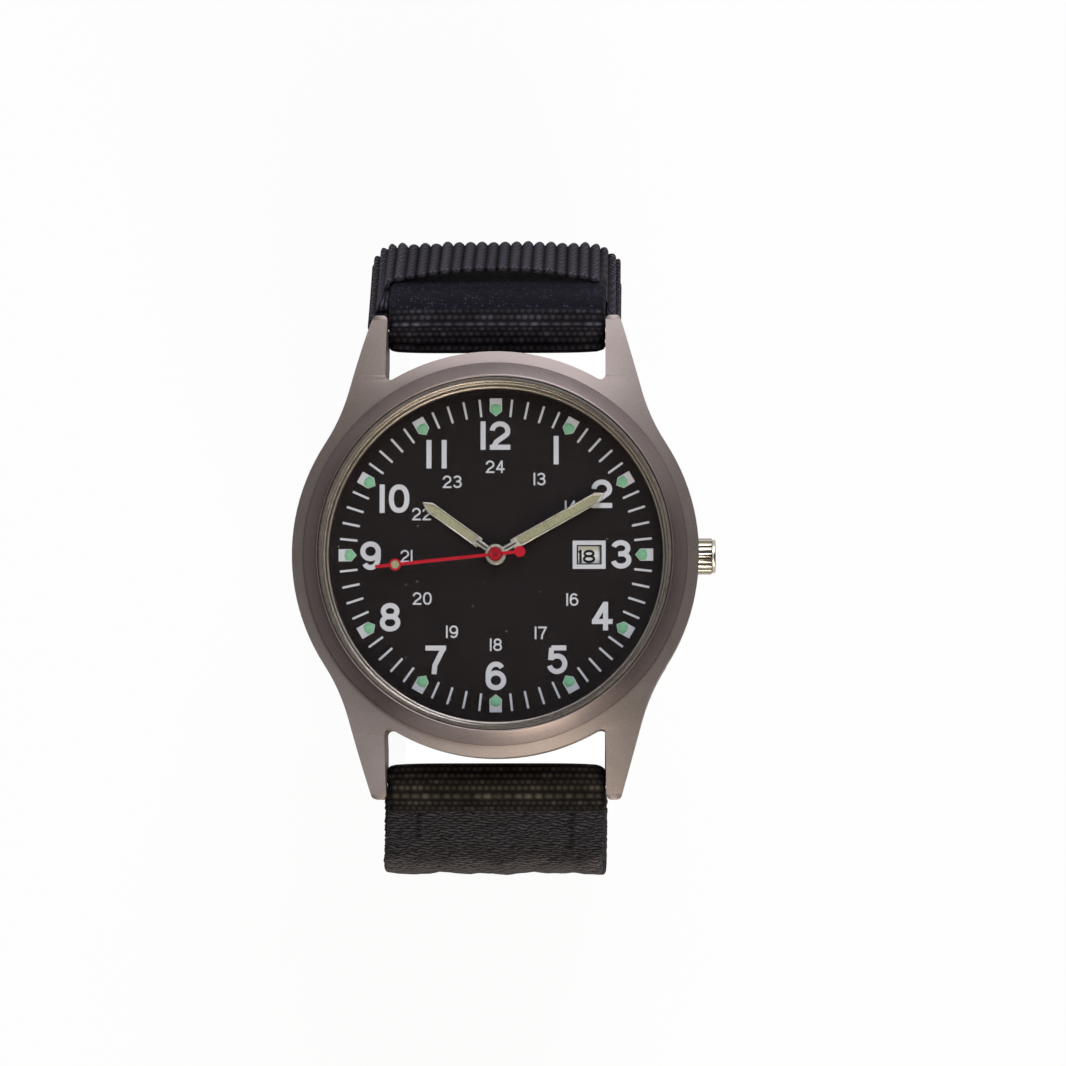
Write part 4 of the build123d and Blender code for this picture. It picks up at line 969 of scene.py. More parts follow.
base = [(track_inner, 0), (14.4, -0.61), (15.7, -0.61), (15.7, 0.61), (14.4, 0.61)]
drop = [(13.95, 0), (14.42, -0.55), (15.0, -0.5), (15.12, 0), (15.0, 0.5), (14.42, 0.55)]
drop_height, blob_x, blob_radius, blob_share = 0.04, 14.62, 0.5 * mm, 0.24
bases, drops = bmesh.new(), bmesh.new()
for hour in range(12):
    angle = radians(90 - 30 * hour)
    slab(bases, turned(base, angle), print_z, frame_height)
    slab(drops, turned(drop, angle), dial_top + frame_height, drop_height)
    blob = bmesh.ops.create_uvsphere(drops, u_segments=20, v_segments=10, radius=blob_radius)
    x, y = turned([(blob_x, 0)], angle)[0]
    bmesh.ops.scale(drops, verts=blob["verts"], vec=(1, 1, blob_share))
    middle = (x * mm, y * mm, (dial_top + 0.07) * mm)
    bmesh.ops.translate(drops, verts=blob["verts"], vec=middle)
for bm in (bases, drops):
    bmesh.ops.recalc_face_normals(bm, faces=bm.faces)
show("mark_bases", bases, "case", "mint_lume", "dial_print")
show("mark_drops", drops, "case", "mint_lume", replaces=["hour_pips"])
print("track", round(track_outer - track_inner, 2), "mm wide")

# %% [markdown]
# ## Date disc
# The disc carries 31 printed numbers. The eighteenth stands in the window, and the rest are
# spaced by the disc's 31 teeth, so that they come round as it turns. A thin pale skin is the
# painted ring under them. The guard over the disc is turned a little smaller than its CAD
# solid, so that it doesn't cover the first figure in the window.

# %% Date disc
day_count, shown_day, disc_top = 31, 18, 50.74
day_letter = (1.32, 0.24, 1.24, 0.11)
day_radius, day_aside, day_height = 9.12, 0.13, 0.012
days = bmesh.new()
for day in range(1, day_count + 1):
    angle = radians((day - shown_day) * 360 / day_count)
    x, y = turned([(day_radius, -day_aside)], angle)[0]
    number_print(days, str(day), x, y, day_letter, disc_top + 0.02, angle, day_height, flags=True)
bmesh.ops.recalc_face_normals(days, faces=days.faces)
show("date_numbers", days, "date_ring", "white_plastic", "date_print")

skin = lathe(box(7.9, disc_top - 0.01, 10.7, disc_top + 0.005), 4 * day_count)
show("date_disc_skin", skin, "date_ring", "white_plastic", "date_disc")

guard_inner, guard_outer = 1.3, 8.0
guard_low, guard_high = (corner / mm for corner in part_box("date_disc_guard"))
guard = lathe(box(guard_inner, guard_low.z, guard_outer, guard_high.z))
show("date_guard", guard, "case", "movement_steel", replaces=["date_disc_guard"])
print("days", day_count)


# %% [markdown]
# ## Straps
# Each strap piece is one length of webbing folded round its spring bar and laid against itself.
# A route gives the fold's centre-line in the side view, and a flat section with round selvedges
# is carried along it. The map stores millimetres, so the weave keeps its size everywhere.

# %% Strap routes
bar_y, bar_z, eye, layer = 22.9, 47.6, 1.5, 1.1


def straight(first, last, step):
    """Points on a line, after its first and up to its last."""
    count = max(1, int((last - first).length / step))
    return [first.lerp(last, (k + 1) / count) for k in range(count)]


def run_with_arcs(points, radii, step):
    """Samples a polyline whose corners are rounded."""
    made = [Vector(points[0])]
    for i in range(1, len(points) - 1):
        corner = Vector(points[i])
        into = (corner - Vector(points[i - 1])).normalized()
        out = (Vector(points[i + 1]) - corner).normalized()
        bend = into.angle_signed(out)
        reach = radii[i - 1] * tan(abs(bend) / 2)
        start = corner - into * reach
        side = 1 if into.x * out.y - into.y * out.x > 0 else -1
        centre = start + Vector((-into.y, into.x)) * radii[i - 1] * side
        made += straight(made[-1], start, step)
        count = max(2, int(abs(bend) * radii[i - 1] / step))
        spoke = start - centre
        for k in range(1, count + 1):
            made.append(centre + Vector(turned([spoke], side * abs(bend) * k / count)[0]))
    return made + straight(made[-1], Vector(points[-1]), step)


def folded_route(side, points, radii, leave, return_angle, step=0.15):
    """The webbing's centre-line: in along the underside, round the bar, out along the top."""
    settled_after, join_after, pull = 5, 5.2, 0.35
    middle = run_with_arcs(points, radii, step)
    top, under = [], []
    for i, point in enumerate(middle):
        ahead = middle[min(i + 1, len(middle) - 1)] - middle[max(i - 1, 0)]
        ahead.normalize()
        normal = Vector((-ahead.y, ahead.x)) * side
        settle = min(1.0, (point - middle[0]).length / settled_after) ** 2
        top.append(point + normal * (0.35 + 0.3 * settle))
        under.append(point - normal * (0.75 - 0.1 * settle))
    bar = Vector((side * bar_y, bar_z))
    total = return_angle - leave
    turns = int(abs(radians(total)) * eye / step)
    loop = []
    for k in range(1, turns + 1):
        a = radians(leave + total * k / turns)
        loop.append(bar + Vector((cos(a), sin(a))) * eye)
    skip = next(i for i, p in enumerate(middle) if (p - middle[0]).length > join_after)
    leaving = (loop[-1] - loop[-2]).normalized()
    joining = (under[skip + 1] - under[skip]).normalized()
    span = (under[skip] - loop[-1]).length
    a, d = loop[-1], under[skip]
    b, c = a + leaving * span * pull, d - joining * span * pull
    count = max(4, int(span / step))
    bridge = []
    for k in range(1, count):
        t = k / count
        near, far = a * (1 - t) ** 3 + b * 3 * t * (1 - t) ** 2, c * 3 * t**2 * (1 - t) + d * t**3
        bridge.append(near + far)
    inner = loop + bridge + under[skip:]
    return inner[::-1], top


print("routes go round bars", 2 * bar_y, "mm apart")


# %% [markdown]
# The webbing's section is flat with round selvedges. Lengths are measured on the outer face, from
# the top of the fold. Near the bar the weave has bold rows: each is a low ridge, and the map is
# stretched so that a row's crown falls on a thread's crown. A plain map would beat against them.

# %% Webbing section and rows
strap_width = 21.96
half_width, selvedge_round = strap_width / 2, layer * 0.3
top_points, under_points = 44, 16
ridge_fade, last_row_reach = 0.7, 0.35


def flat_section():
    """Points (across, up) round the webbing."""
    flat = half_width - selvedge_round
    bend = [(selvedge_round * cos(a), layer / 2 * sin(a)) for a in (1.0, 0.45, 0, -0.45, -1.0)]
    section = [(-flat + 2 * flat * k / top_points, layer / 2) for k in range(top_points + 1)]
    section += [(flat + x, t) for x, t in bend]
    section += [(flat - 2 * flat * k / under_points, -layer / 2) for k in range(under_points + 1)]
    return section + [(-flat - x, t) for x, t in bend[::-1]]


def outward(path, side):
    """The direction out of the outer face at each point of the route."""
    last = len(path) - 1
    runs = [path[min(j + 1, last)] - path[max(j - 1, 0)] for j in range(last + 1)]
    return [Vector((-run.y, run.x)) * side for run in (run.normalized() for run in runs)]


def outer_lengths(path, normals, zero):
    """Lengths along the outer face, counted from the point with number zero."""
    skin = [point + normal * layer / 2 for point, normal in zip(path, normals)]
    lengths = [0.0]
    for before, after in zip(skin, skin[1:]):
        lengths.append(lengths[-1] + (after - before).length)
    return [v - lengths[zero] for v in lengths]


def row_threads(along, rows):
    """The row a place lies in, and where in the weave it is: row crowns fall on thread crowns."""
    near = min(range(len(rows)), key=lambda k: abs(rows[k][0] - along))
    centre = rows[near][0]
    beyond = near + (1 if along > centre else -1)
    inside = 0 <= beyond < len(rows)
    reach = abs(rows[beyond][0] - centre) / 2 if inside else last_row_reach
    return near, near + 0.5 + 0.5 * (along - centre) / reach


def row_lift(x, along, rows):
    """The height of the rows' ridges, which fade out towards the selvedges."""
    fade = min(1.0, (half_width - abs(x)) / ridge_fade)
    return fade * sum(h * max(0.0, 1 - ((along - c) / w) ** 2) for c, w, h, _ in rows)


print("section", len(flat_section()), "points")

# %% [markdown]
# The attribute "pale" makes the bold rows light and the gaps between them dark, and on the rows
# round the fold it is partly painted light against their shade. Beyond the rows it gives soft
# patches, a band of painted sheen where the strap turns down, and the dark stitched lines of the
# fold. Slow waves bend the flat stretch, where nothing pulls the webbing tight.

# %% Webbing lightness and waves
rows_start, selvedge, ragged_edge = -6, 0.8, 0.6
bold_pale, bold_stretch, stitch_length, stitch_half = 2.2, 0.64, 0.66, 0.3
darkest_row, dark_thread = -0.45, -0.6
painted_sheen_start, painted_sheen_end, painted_sheen_pale = 6.9, 13, 1.1
waves_start, waves_rise, waves_end, waves_fade = 4, 3, 52, 10


def row_pale(x, lightness, pick):
    """One stitch of a row, light or dark by the dice; the selvedges stay dark."""
    if abs(x) > half_width - selvedge:
        return dark_thread + pick
    return max(darkest_row, lightness * (0.7 + pick) - 1)


def plain_pale(x, along, patch, sheen, stitches, rows_end):
    """A place beyond the rows: its patch, the band of painted sheen and the stitched lines."""
    level = patch
    # Painted sheen: a lighter band where the top of the webbing turns down.
    if sheen:
        border = painted_sheen_start + 0.35 * sin(0.9 * x + 1) + 0.2 * sin(2.3 * x)
        level += painted_sheen_pale * share(along - border) * share(painted_sheen_end - along)
    for place, until in stitches:
        aside = abs(x - place - 0.05 * sin(3 * along))
        if rows_end < along < until and aside < stitch_half:
            level = dark_thread + 0.3 * sin(9 * along)
    return level


def wave(x, along):
    """The waves' height across and along the webbing, as a share of their size."""
    bend = share((along - waves_start) / waves_rise) * share((waves_end - along) / waves_fade)
    return bend * (sin(1.35 * x + 0.6) + sin(0.62 * x + 2.0) + 0.5 * sin(3.1 * x))


print("waves end", waves_end, "mm from the bar")

# %% [markdown]
# A grid of vertices takes the section one way and the route the other. Each vertex gets its place
# on the map, its lightness and its position. Faces take a finish by their zone along the webbing.

# %% Webbing
fold_end, fold_blend, fold_thin, fold_narrow = 7.5, 3, 0.2, 0.006
askew_start, askew_blend = 2.5, 5


def webbing(name, inner, top, side, rows, zones, stitches=(), waves=0.0, askew=0.0):
    """Carries the flat section along the route, with raised rows near the bar."""
    dice = random.Random(11)
    picks = [dice.choice((-0.2, 0, 0, 0.1, 0.2, 0.7)) for _ in range(97)]
    patches = [dice.uniform(-0.12, 0.12) for _ in range(400)]
    ragged = [(dice.uniform(-0.09, 0.05), dice.uniform(-0.09, 0.05)) for _ in range(40)]
    path, section = inner + top, flat_section()
    normals = outward(path, side)
    lengths = outer_lengths(path, normals, len(inner))
    around = [0.0]
    for before, after in zip(section, section[1:] + section[:1]):
        around.append(around[-1] + hypot(after[0] - before[0], after[1] - before[1]))
    columns, lines = len(section), len(path) - 1
    rows_end = zones[0][2]
    bm = bmesh.new()
    bmesh.ops.create_grid(bm, x_segments=columns, y_segments=lines, size=1.0)
    uv = bm.loops.layers.uv.new("woven")
    pale = bm.verts.layers.float.new("pale")
    spots, reached = {}, {}
    for v in bm.verts:
        i = round((v.co.x + 1) / 2 * columns)
        j = round((v.co.y + 1) / 2 * lines)
        x, t = section[i % columns]
        along = reached[v] = lengths[j]
        across = around[i] - half_width + selvedge_round
        row, thread = row_threads(along, rows)
        lightness = rows[row][3]
        if rows_start < along < rows_end:
            # The boldest rows have longer stitches.
            spots[v] = (across * (bold_stretch if lightness > bold_pale else 1), thread)
            pick = picks[(int((x + 11) / stitch_length) + 17 * row) % len(picks)]
            v[pale] = row_pale(x, lightness, pick)
        else:
            spots[v] = (across, along)
            patch = patches[(int(abs(x) * 1.3) + 9 * int(along / 0.9)) % len(patches)]
            v[pale] = plain_pale(x, along, patch, waves and t > 0, stitches, rows_end)
        near_bar = share((fold_end - along) / fold_blend)
        thin = 1 - fold_thin * near_bar * (abs(x) / half_width) ** 6
        height = (t + layer / 2) * thin - layer / 2
        if t > 0:
            height += row_lift(x, along, rows) if along > rows_start else 0
            height += waves * wave(x, along)
        point = path[j] + normals[j] * height
        if abs(x) > half_width - ragged_edge:
            x += ragged[j % len(ragged)][x > 0] * (1 if x > 0 else -1)
        x *= 1 - fold_narrow * near_bar
        x += askew * share((abs(along) - askew_start) / askew_blend)
        v.co = (x * mm, point.x * mm, point.y * mm)
    for face in bm.faces:
        for loop in face.loops:
            loop[uv].uv = spots[loop.vert]
        along = sum(reached[v] for v in face.verts) / len(face.verts)
        for order, (_, low, high) in enumerate(zones, 1):
            if low <= along <= high:
                face.material_index = order
    bmesh.ops.remove_doubles(bm, verts=bm.verts, dist=1e-7)
    rims = [e for e in bm.edges if e.is_boundary]
    bmesh.ops.holes_fill(bm, edges=rims, sides=0)
    bmesh.ops.recalc_face_normals(bm, faces=bm.faces)
    piece = show(name + "_webbing", bm, name, "strap_nylon", smooth=60, replaces=[name])
    for zone, _, _ in zones:
        piece.data.materials.append(finish[zone])
    print(name, len(piece.data.polygons), "faces,", round(lengths[-1], 1), "mm from the bar")


# %% [markdown]
# The long piece leaves its bar at six o'clock, drops and comes forward under the wrist. The
# short one leaves at twelve, slopes down, drops and lies on the long one's end. Each row has a
# place along the webbing, from the top of the fold, and a lightness. The rows round the fold are
# made lighter as painted light, against the shade that falls on them there.

# %% Strap pieces
bottom_z, overlap_end, foot_radius = 1.2, 12, 18.5
row_height = 0.16

long_wall = -30.45
long_points = [
    (-23.139, 48.725),
    (long_wall, 47.171),
    (long_wall, bottom_z),
    (overlap_end, bottom_z),
]
long_route = folded_route(-1, long_points, [2.2, foot_radius], 102, -100)
# The first rows, round the fold, are lightened as painted light against their shade.
long_lines = (
    (-3.7, 2.0),
    (-2.9, 1.9),
    (-2.15, 1.7),
    (-1.35, 1.4),
    (-0.68, 1.2),
    (-0.13, 1.8),
    (0.8, 2.3),
    (1.44, 1.3),
    (1.95, 1.0),
)
long_rows = [(c, 0.36, row_height, pale) for c, pale in long_lines]
long_zones = [("strap_rows", -5, 2.18)]
long_stitches = ((-7.8, 5.2), (7.6, 6.2))
webbing("strap_long", *long_route, -1, long_rows, long_zones, long_stitches, 0.08, -0.4)

short_z, short_wall, tab_end = 4.75, 32.6, 2.2
knee = (25.2, 48.75)
short_points = [
    (bar_y, knee[1]),
    knee,
    (short_wall, 32.12),
    (short_wall, short_z),
    (-overlap_end, short_z),
]
short_route = folded_route(1, short_points, [3, 20, foot_radius], 90, 250)
# The first rows, round the fold, are lightened as painted light against their shade.
short_lines = (
    (-2.9, 2.0),
    (-2.05, 1.7),
    (-1.05, 1.2),
    (-0.4, 1.5),
    (0.08, 0.9),
    (0.52, 2.3),
    (1.29, 1.5),
    (1.94, 1.1),
)
short_rows = [(c, 0.38, row_height, pale) for c, pale in short_lines]
short_zones = [("strap_tab", -5, tab_end), ("strap_pile", tab_end, 9)]
webbing("strap_short", *short_route, 1, short_rows, short_zones)

# %% [markdown]
# ## Keeper
# The keeper is a ring of corded webbing round the short piece. Its outer face is bowed, and its
# cords lie along the strap, so that their cut ends scallop both rims. The ring is a grid wrapped
# both ways: round the section, and out over the face and back along the inside.

# %% Keeper section
slope_end, keeper_start = (33.3, 30.55), 4.3
slope = Vector((slope_end[0] - knee[0], slope_end[1] - knee[1])).normalized()
keeper_origin = Vector(knee) + slope * keeper_start
keeper_normal = Vector((-slope.y, slope.x))
cord_count, points_per_cord = 48, 12
keeper_half, keeper_back, keeper_crown, keeper_bow = 13.05, -2.65, 3.15, 2.0
keeper_length, keeper_wall, cord_depth, rim_round = 8.7, 0.6, 0.36, 0.35
keeper_aside, keeper_hug = -0.5, 11.05


def even(points, count):
    """A closed outline again, with evenly spaced points."""
    closed = points + points[:1]
    marks = [0.0]
    for before, after in zip(closed, closed[1:]):
        marks.append(marks[-1] + (after - before).length)
    made, i = [], 0
    for k in range(count):
        at = marks[-1] * k / count
        while marks[i + 1] < at:
            i += 1
        made.append(closed[i].lerp(closed[i + 1], (at - marks[i]) / (marks[i + 1] - marks[i])))
    return made, marks[-1]


def keeper_section():
    """The bowed front, sides that lean out and down, and the flat back."""
    corners = []
    for k in range(-5, 6):
        x = 11.2 * k / 5
        n = keeper_crown - keeper_bow * (x / keeper_half) ** 2
        corners.append((-x, n, 1.1 if abs(k) == 5 else 0))
    corners += [(-keeper_half, -0.5, 1.0), (-12.9, keeper_back, 1.2)]
    corners += [(12.9, keeper_back, 1.2), (keeper_half, -0.5, 1.0)]
    return even(rounded(corners, 8), cord_count * points_per_cord)


section, section_length = keeper_section()
print("keeper section", round(section_length, 1), "mm round")

# %% [markdown]
# Every cord is a little higher or longer than the next, by fixed dice, and the attribute "pale"
# is painted shade between the cords and painted highlight on their crowns, on the higher cords
# and at the rims. The far rim rises at its ends, and the sides tuck in at the near one.

# %% Keeper shape
cord_spread, reach_spread = 0.09, 0.22
side_start, side_blend, side_lean, side_tuck = 10.6, 1.6, 0.8, 2.4
rim_scallop, scallop_reach, loose_reach = 0.34, 0.8, 2.5
far_rise, side_rise = 0.2, 0.85

dice = random.Random(21)
cord_lift = [dice.uniform(-cord_spread, cord_spread) for _ in range(cord_count)]
cord_reach = [
    (dice.uniform(-reach_spread, reach_spread), dice.uniform(-reach_spread, reach_spread))
    for _ in range(cord_count)
]


def keeper_depth(cord, swell, from_rim, outside):
    """How far the surface lies inside the section: cords outside, a thin wall within."""
    fall = 1 - (1 - max(0, 1 - from_rim / rim_round) ** 2) ** 0.5
    if not outside:
        return keeper_wall - 0.15 * fall
    return cord_depth * (1 - swell) + 0.3 * fall - cord_lift[cord] * swell


def keeper_pale(cord, swell, from_rim):
    """Painted shade between the cords, painted highlight on their crowns and on the higher cords,
    and a little more at the rims.
    """
    # Painted highlight near the rims.
    painted_rim_light = 0.45 * swell * max(0, 1 - from_rim / 0.9)
    return -0.85 + 1.1 * swell**2.2 + 2.6 * cord_lift[cord] + painted_rim_light


def keeper_point(spot, along, cord, swell, from_rim):
    """The side view's place of a spot, with the rims' scallops and their lean and rise."""
    to_side = share((abs(spot.x) - side_start) / side_blend)
    to_side *= to_side * (3 - 2 * to_side)
    aside = (spot.x / keeper_half) ** 2
    up = spot.y + side_lean * along / keeper_length * min(1, aside) * (spot.y > -1)
    rim = rim_scallop * (1 - swell) * max(0, 1 - from_rim / scallop_reach)
    far_half = along > keeper_length / 2
    loose = cord_reach[cord][far_half] * swell * max(0, 1 - from_rim / loose_reach)
    along += loose + (-rim if far_half else rim)
    point = keeper_origin + slope * (along + 0.2) + keeper_normal * up
    point.x -= side_tuck * to_side * (1 - along / keeper_length)
    rise = (far_rise + side_rise * aside) * max(0, along / keeper_length) ** 2
    point.x += rise * share((up + 2) / 1.5)
    return point


print("cords", cord_count)

# %% [markdown]
# The grid's rows are closer at the rims, where each cord ends in a round. It runs out over the
# outer face and back along the inside, and closes on itself both ways.

# %% Keeper
rim_steps, mid_step = [0, 0.06, 0.15, 0.28, 0.45], 0.4
rim_width = rim_steps[-1]
along_steps = rim_steps + [rim_width + mid_step * k for k in range(1, 20)]
along_steps = [v for v in along_steps if v < keeper_length - rim_width]
along_steps += [keeper_length - v for v in rim_steps[::-1]]
wrap = [(v, True) for v in along_steps] + [(v, False) for v in along_steps[::-1]]
bm = bmesh.new()
bmesh.ops.create_grid(bm, x_segments=len(section), y_segments=len(wrap), size=1.0)
uv = bm.loops.layers.uv.new("woven")
pale = bm.verts.layers.float.new("pale")
spots = {}
for v in bm.verts:
    i = round((v.co.x + 1) / 2 * len(section))
    j = round((v.co.y + 1) / 2 * len(wrap))
    along, outside = wrap[j % len(wrap)]
    spots[v] = (section_length * i / len(section), along if outside else -1 - along)
    i %= len(section)
    across = (section[(i + 1) % len(section)] - section[i - 1]).normalized()
    cord = (i // points_per_cord) % cord_count
    swell = abs(sin(pi * i / points_per_cord)) ** 0.75
    from_rim = min(along, keeper_length - along)
    depth = keeper_depth(cord, swell, from_rim, outside)
    spot = section[i] + Vector((-across.y, across.x)) * depth
    v[pale] = keeper_pale(cord, swell, from_rim)
    point = keeper_point(spot, along, cord, swell, from_rim)
    x = spot.x + keeper_aside
    if not outside and abs(x) > keeper_hug:
        x = (keeper_hug + 0.02 * (abs(x) - keeper_hug)) * (1 if x > 0 else -1)
    v.co = (x * mm, point.x * mm, point.y * mm)
for face in bm.faces:
    for loop in face.loops:
        loop[uv].uv = spots[loop.vert]
bmesh.ops.remove_doubles(bm, verts=bm.verts, dist=1e-7)
bmesh.ops.recalc_face_normals(bm, faces=bm.faces)
piece = show("keeper_cords", bm, "keeper", "keeper_nylon", smooth=80, replaces=["strap_keeper"])
print("keeper", len(piece.data.polygons), "faces")


# %% [markdown]
# ## Crown
# The crown is a fluted steel knob with a smooth end collar. A circle of vertices is drawn out
# along the crown's axis, and each copy is set to the fluted or the round outline. One flute's
# land faces the camera, and the grooves get a dark finish of their own, painted shade in the
# hollows between the flutes.

# %% Crown
crown_z, flutes, points_per_flute = 48.7, 18, 10
flute_dips = (0, 0, 0.004, 0.03, 0.17, 0.21, 0.17, 0.03, 0.004, 0)
flute_radius, flute_end, groove_reach = 1.83, 21.6, 1.77
knob = bmesh.new()
count = flutes * points_per_flute
bmesh.ops.create_circle(knob, cap_ends=False, segments=count, radius=1.0)
loop_verts = sorted(knob.verts, key=lambda v: atan2(v.co.y, v.co.x))
around = [2 * pi * k / count for k in range(count)]
# Each station is a place along the crown, a radius, and whether it is fluted.
stations = [
    (19.6, flute_radius, True),
    (21.5, flute_radius, True),
    (flute_end, 1.79, True),
    (21.62, 1.6, False),
    (21.66, 1.66, False),
    (21.84, 1.68, False),
    (21.95, 1.63, False),
    (22.0, 1.5, False),
    (21.98, 0.8, False),
    (21.98, 0.05, False),
]
outline = []
for station, (x, radius, fluted) in enumerate(stations):
    if station:
        pairs = zip(loop_verts, loop_verts[1:] + loop_verts[:1])
        edges = [knob.edges.get(pair) for pair in pairs]
        drawn = bmesh.ops.extrude_edge_only(knob, edges=edges)["geom"]
        fresh = [v for v in drawn if isinstance(v, bmesh.types.BMVert)]
        partner = {}
        for v in fresh:
            for e in v.link_edges:
                other = e.other_vert(v)
                if other in outline:
                    partner[other] = v
        loop_verts = [partner[v] for v in loop_verts]
    outline = set(loop_verts)
    for v, a, k in zip(loop_verts, around, range(count)):
        r = radius - (flute_dips[k % points_per_flute] if fluted else 0)
        v.co = (x * mm, r * sin(a) * mm, (crown_z + r * cos(a)) * mm)
rims = [e for e in knob.edges if e.is_boundary]
bmesh.ops.holes_fill(knob, edges=rims, sides=0)
bmesh.ops.recalc_face_normals(knob, faces=knob.faces)
for face in knob.faces:
    middle = face.calc_center_median() / mm
    in_groove = hypot(middle.y, middle.z - crown_z) < groove_reach and middle.x < flute_end + 0.03
    face.material_index = 1 if in_groove and len(face.verts) == 4 else 0
piece = show("crown_knob", knob, "crown", "polished_steel", smooth=40, replaces=["crown"])
# The grooves take the finish of painted shade.
piece.data.materials.append(finish["crown_groove_shade"])
print("crown", len(piece.data.polygons), "faces")

# %% [markdown]
# ## Hand details
# Each metal hand has a slit neck, and the red hub a staked pin with a ring round it. They are
# thin dark pieces on the tops of the hands, and turn with them. The ring round the pin and a
# second ring at the hub's edge are painted shade in a darker red.

# %% Hand details
hour_clock, minute_clock = 305.8, 60.8
hour_top, minute_top, hub_top, inlay = 51.75, 52.2, 52.95, 0.008
slit_shape = [(1.05, -0.075), (2.3, -0.075), (2.38, 0), (2.3, 0.075), (1.05, 0.075)]
for name, body, top, clock in (
    ("hour_slit", "hours", hour_top, hour_clock),
    ("minute_slit", "minutes", minute_top, minute_clock),
):
    slit = bmesh.new()
    slab(slit, turned(slit_shape, radians(90 - clock)), top + 0.001, 0.01)
    bmesh.ops.recalc_face_normals(slit, faces=slit.faces)
    show(name, slit, body, "hand_metal", "date_print")
for name, inner, outer, paint in (
    ("hub_pin", 0.0, 0.1, "date_print"),
    # Painted shade: dark red rings round the pin and at the hub's edge.
    ("hub_shade_ring", 0.24, 0.31, "red_shade"),
    ("hub_edge_shade", 0.6, 0.7, "red_shade"),
):
    ring = lathe(box(inner, hub_top, outer, hub_top + inlay), 48)
    show(name, ring, "seconds", "seconds_red", paint)
print("slit", round(slit_shape[1][0] - slit_shape[0][0], 2), "mm long")

# %% [markdown]
# ## Closure patches
# The two halves of the closure lie against each other under the wrist. The pile side is a felt
# of small loops and the hook side a field of short stubs.

# %% Closure patches
patch_half_x, patch_half_y, fluff_depth = 9.4, 11.9, 0.12


def patch(name, body, node_name, low_z, high_z, seed):
    """A fluffed field with smooth borders, in the place of one closure node."""
    dice = random.Random(seed)
    bm = bmesh.new()
    bmesh.ops.create_grid(bm, x_segments=60, y_segments=76, size=1.0)
    uv = bm.loops.layers.uv.new("woven")
    for v in bm.verts:
        x, y = v.co.x * patch_half_x, v.co.y * patch_half_y
        to_edge = max(abs(x) / 9.5, abs(y) / 12)
        fluff = 0 if to_edge > 0.96 else dice.uniform(-fluff_depth, 0)
        v.co = (x * mm, y * mm, (high_z + fluff) * mm)
    for face in bm.faces:
        for loop in face.loops:
            loop[uv].uv = (loop.vert.co.x / mm, loop.vert.co.y / mm)
    bmesh.ops.solidify(bm, geom=bm.faces, thickness=(high_z - low_z - 0.14) * mm)
    bmesh.ops.recalc_face_normals(bm, faces=bm.faces)
    show(name, bm, body, "closure_nylon", smooth=20, replaces=[node_name])


patch("pile_felt", "strap_long", "pile_patch", 2.4, 2.9, 3)
patch("hook_field", "strap_short", "hook_patch", 3.05, 3.55, 5)
print("closure patches made")

# %% [markdown]
# ## Materials for the other pieces
# Every other piece keeps its exact CAD mesh and takes the finish of its slot.

# %% Other pieces
for name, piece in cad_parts.items():
    slot_name = piece.data.materials[0].name.split(".")[0] if piece.data.materials else ""
    if slot_name in finish:
        piece.data.materials.clear()
        piece.data.materials.append(finish[slot_name])
    else:
        print("no finish for", name, slot_name)

# %% [markdown]
# ## Floor and light
# The set is made of four-cornered sheets: a floor, a card and two flags. Some of them glow for
# the camera alone, so one helper makes a sheet and another mixes its glow in.

# %% Stage tools
white = (1, 1, 1, 1)


def stage_quad(name, corners, paint, unseen_by=()):
    """A four-cornered sheet of the set, in metres, which some kinds of ray can't meet."""
    bm = bmesh.new()
    bm.faces.new([bm.verts.new(corner) for corner in corners])
    mesh = bpy.data.meshes.new(name)
    bm.to_mesh(mesh)
    bm.free()
    mesh.materials.append(paint)
    made = bpy.data.objects.new(name, mesh)
    bpy.context.collection.objects.link(made)
    made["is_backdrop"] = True
    for ray in unseen_by:
        setattr(made, "visible_" + ray, False)


def with_glow(tree, seen, under):
    """Shows white light where seen is 1, and the shader under it elsewhere."""
    glow = node(tree, "ShaderNodeEmission", {"Color": white, "Strength": 1.0})
    both = node(tree, "ShaderNodeMixShader", {0: seen, 1: under.outputs[0], 2: glow.outputs[0]})
    tree.links.new(both.outputs[0], tree.nodes["Material Output"].inputs[0])


print("stage tools ready")

# %% [markdown]
# The pale floor mostly glows for the camera, and so stays near white and keeps a faint shadow. In
# the photograph the gaps between case and strap are white too, where the strap's far side would
# show. A card inside the loop gives that white: it shows only from nearly straight above, and no
# other ray meets it.

# %% Floor and card
floor_half, floor_grey, floor_rough, floor_glow = 1.5, (0.92, 0.92, 0.92, 1), 0.9, 0.95
floor_paint, tree, shader = material("floor_paint")
shader.inputs["Base Color"].default_value = floor_grey
shader.inputs["Roughness"].default_value = floor_rough
camera_ray = node(tree, "ShaderNodeLightPath").outputs["Is Camera Ray"]
with_glow(tree, calc(tree, "MULTIPLY", camera_ray, floor_glow), shader)
floor_corners = box(-floor_half, -floor_half, floor_half, floor_half)
stage_quad("floor", [(x, y, 0) for x, y in floor_corners], floor_paint)

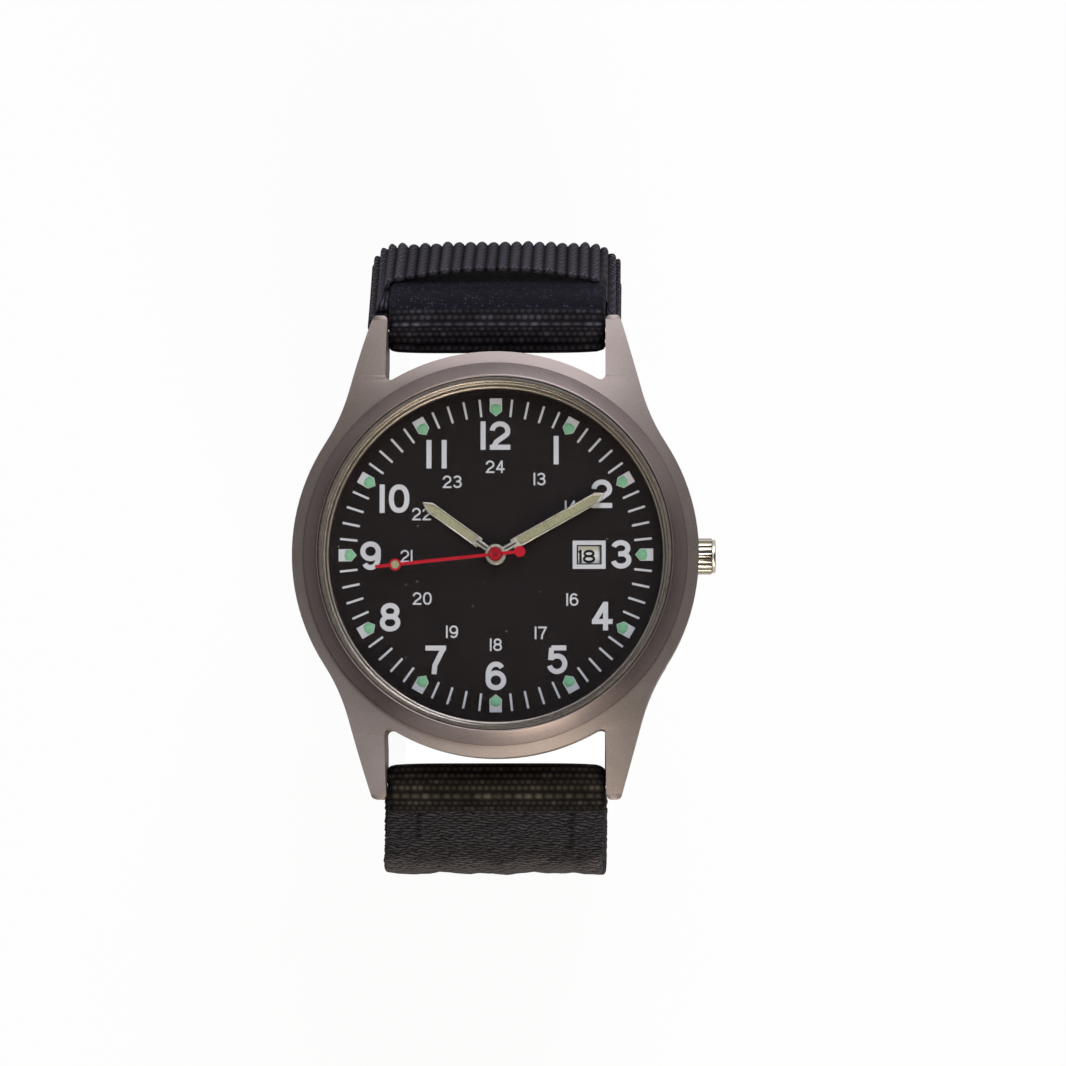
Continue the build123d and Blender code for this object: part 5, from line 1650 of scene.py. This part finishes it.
# The card's corners keep its edges behind the lugs, which the camera sees a little askew.
near_y, far_y, card_z, steepest = -24, 26.2, 16, 0.035
card_corners = [(-10.98, near_y), (10.42, near_y), (10.82, far_y), (-10.62, far_y)]
card_paint, tree, shader = material("card_paint")
facing = node(tree, "ShaderNodeLayerWeight", {"Blend": 0.5}).outputs["Facing"]
front = calc(tree, "SUBTRACT", 1.0, node(tree, "ShaderNodeNewGeometry").outputs["Backfacing"])
from_above = calc(tree, "MULTIPLY", calc(tree, "LESS_THAN", facing, steepest), front)
with_glow(tree, from_above, node(tree, "ShaderNodeBsdfTransparent"))
stage_quad(
    "gap_card",
    [(x * mm, y * mm, card_z * mm) for x, y in card_corners],
    card_paint,
    ("diffuse", "glossy", "transmission", "volume_scatter", "shadow"),
)
print("stage pieces made")

# %% [markdown]
# The world is dim for the light that falls on things, but camera, glossy and transmission rays
# that miss everything see plain white, as in a photographer's tent.

# %% World
dim = 0.08
world = bpy.data.worlds.new("studio")
bpy.context.scene.world = world
world.use_nodes = True
tree = world.node_tree
background = tree.nodes["Background"]
rays = node(tree, "ShaderNodeLightPath")
direct = calc(tree, "MAXIMUM", rays.outputs["Is Camera Ray"], rays.outputs["Is Glossy Ray"])
direct = calc(tree, "MAXIMUM", direct, rays.outputs["Is Transmission Ray"])
strength = node(tree, "ShaderNodeMapRange", {0: direct, 3: dim, 4: 1.0}).outputs[0]
background.inputs["Color"].default_value = white
tree.links.new(strength, background.inputs["Strength"])
print("world light", dim)


# %% [markdown]
# The metal's flats are dark at the sides and bright towards twelve and six o'clock. So one soft
# panel leans in from each end of the strap, the upper one cool and the lower one warm, both a
# little to the right. Two black cards lean over the sides, and only the metal mirrors them.

# %% Panels and flags
dial_centre = Vector((0, 0, 0.05))


def panel(name, place, size, power, tint):
    """An oblong light that faces the dial, in metres and watts."""
    data = bpy.data.lights.new(name, "AREA")
    data.shape = "RECTANGLE"
    data.size, data.size_y = size
    data.energy = power
    data.color = tint
    light = bpy.data.objects.new(name, data)
    bpy.context.collection.objects.link(light)
    light.location = place
    aim = dial_centre - light.location
    light.rotation_euler = aim.to_track_quat("-Z", "Y").to_euler()


panel("top_end", (0.1, 0.43, 0.5), (0.28, 0.5), 2.72, (0.93, 0.96, 1.08))
panel("bottom_end", (0.12, -0.46, 0.44), (0.2, 0.46), 2.6, (1.03, 0.92, 0.78))

flag_black = hard(
    "flag_black", (0.02, 0.02, 0.02, 1), (0.03, 0.03, 0.03, 1), 0.9, 1.0, specular=0.1
)
all_but_glossy = ("camera", "diffuse", "transmission", "volume_scatter", "shadow")
high_z, low_z, high_x, low_x = 0.52, 0.12, 0.12, 0.62
left_corners = [
    (-0.09, -0.5, high_z),
    (-high_x, 0.36, high_z),
    (-low_x, 0.5, low_z),
    (-low_x, -0.8, low_z),
]
right_corners = [
    (0.1, -0.46, high_z),
    (high_x, 0.16, high_z),
    (low_x, 0.24, low_z),
    (low_x, -0.7, low_z),
]
stage_quad("left_flag", left_corners, flag_black, all_but_glossy)
stage_quad("right_flag", right_corners, flag_black, all_but_glossy)
print("panels and flags placed")

# %% [markdown]
# The last step prints the size of the dressed model.

# %% Size and finish
low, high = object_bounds()
print("visual box", [round(v / mm, 2) for corner in (low, high) for v in corner])
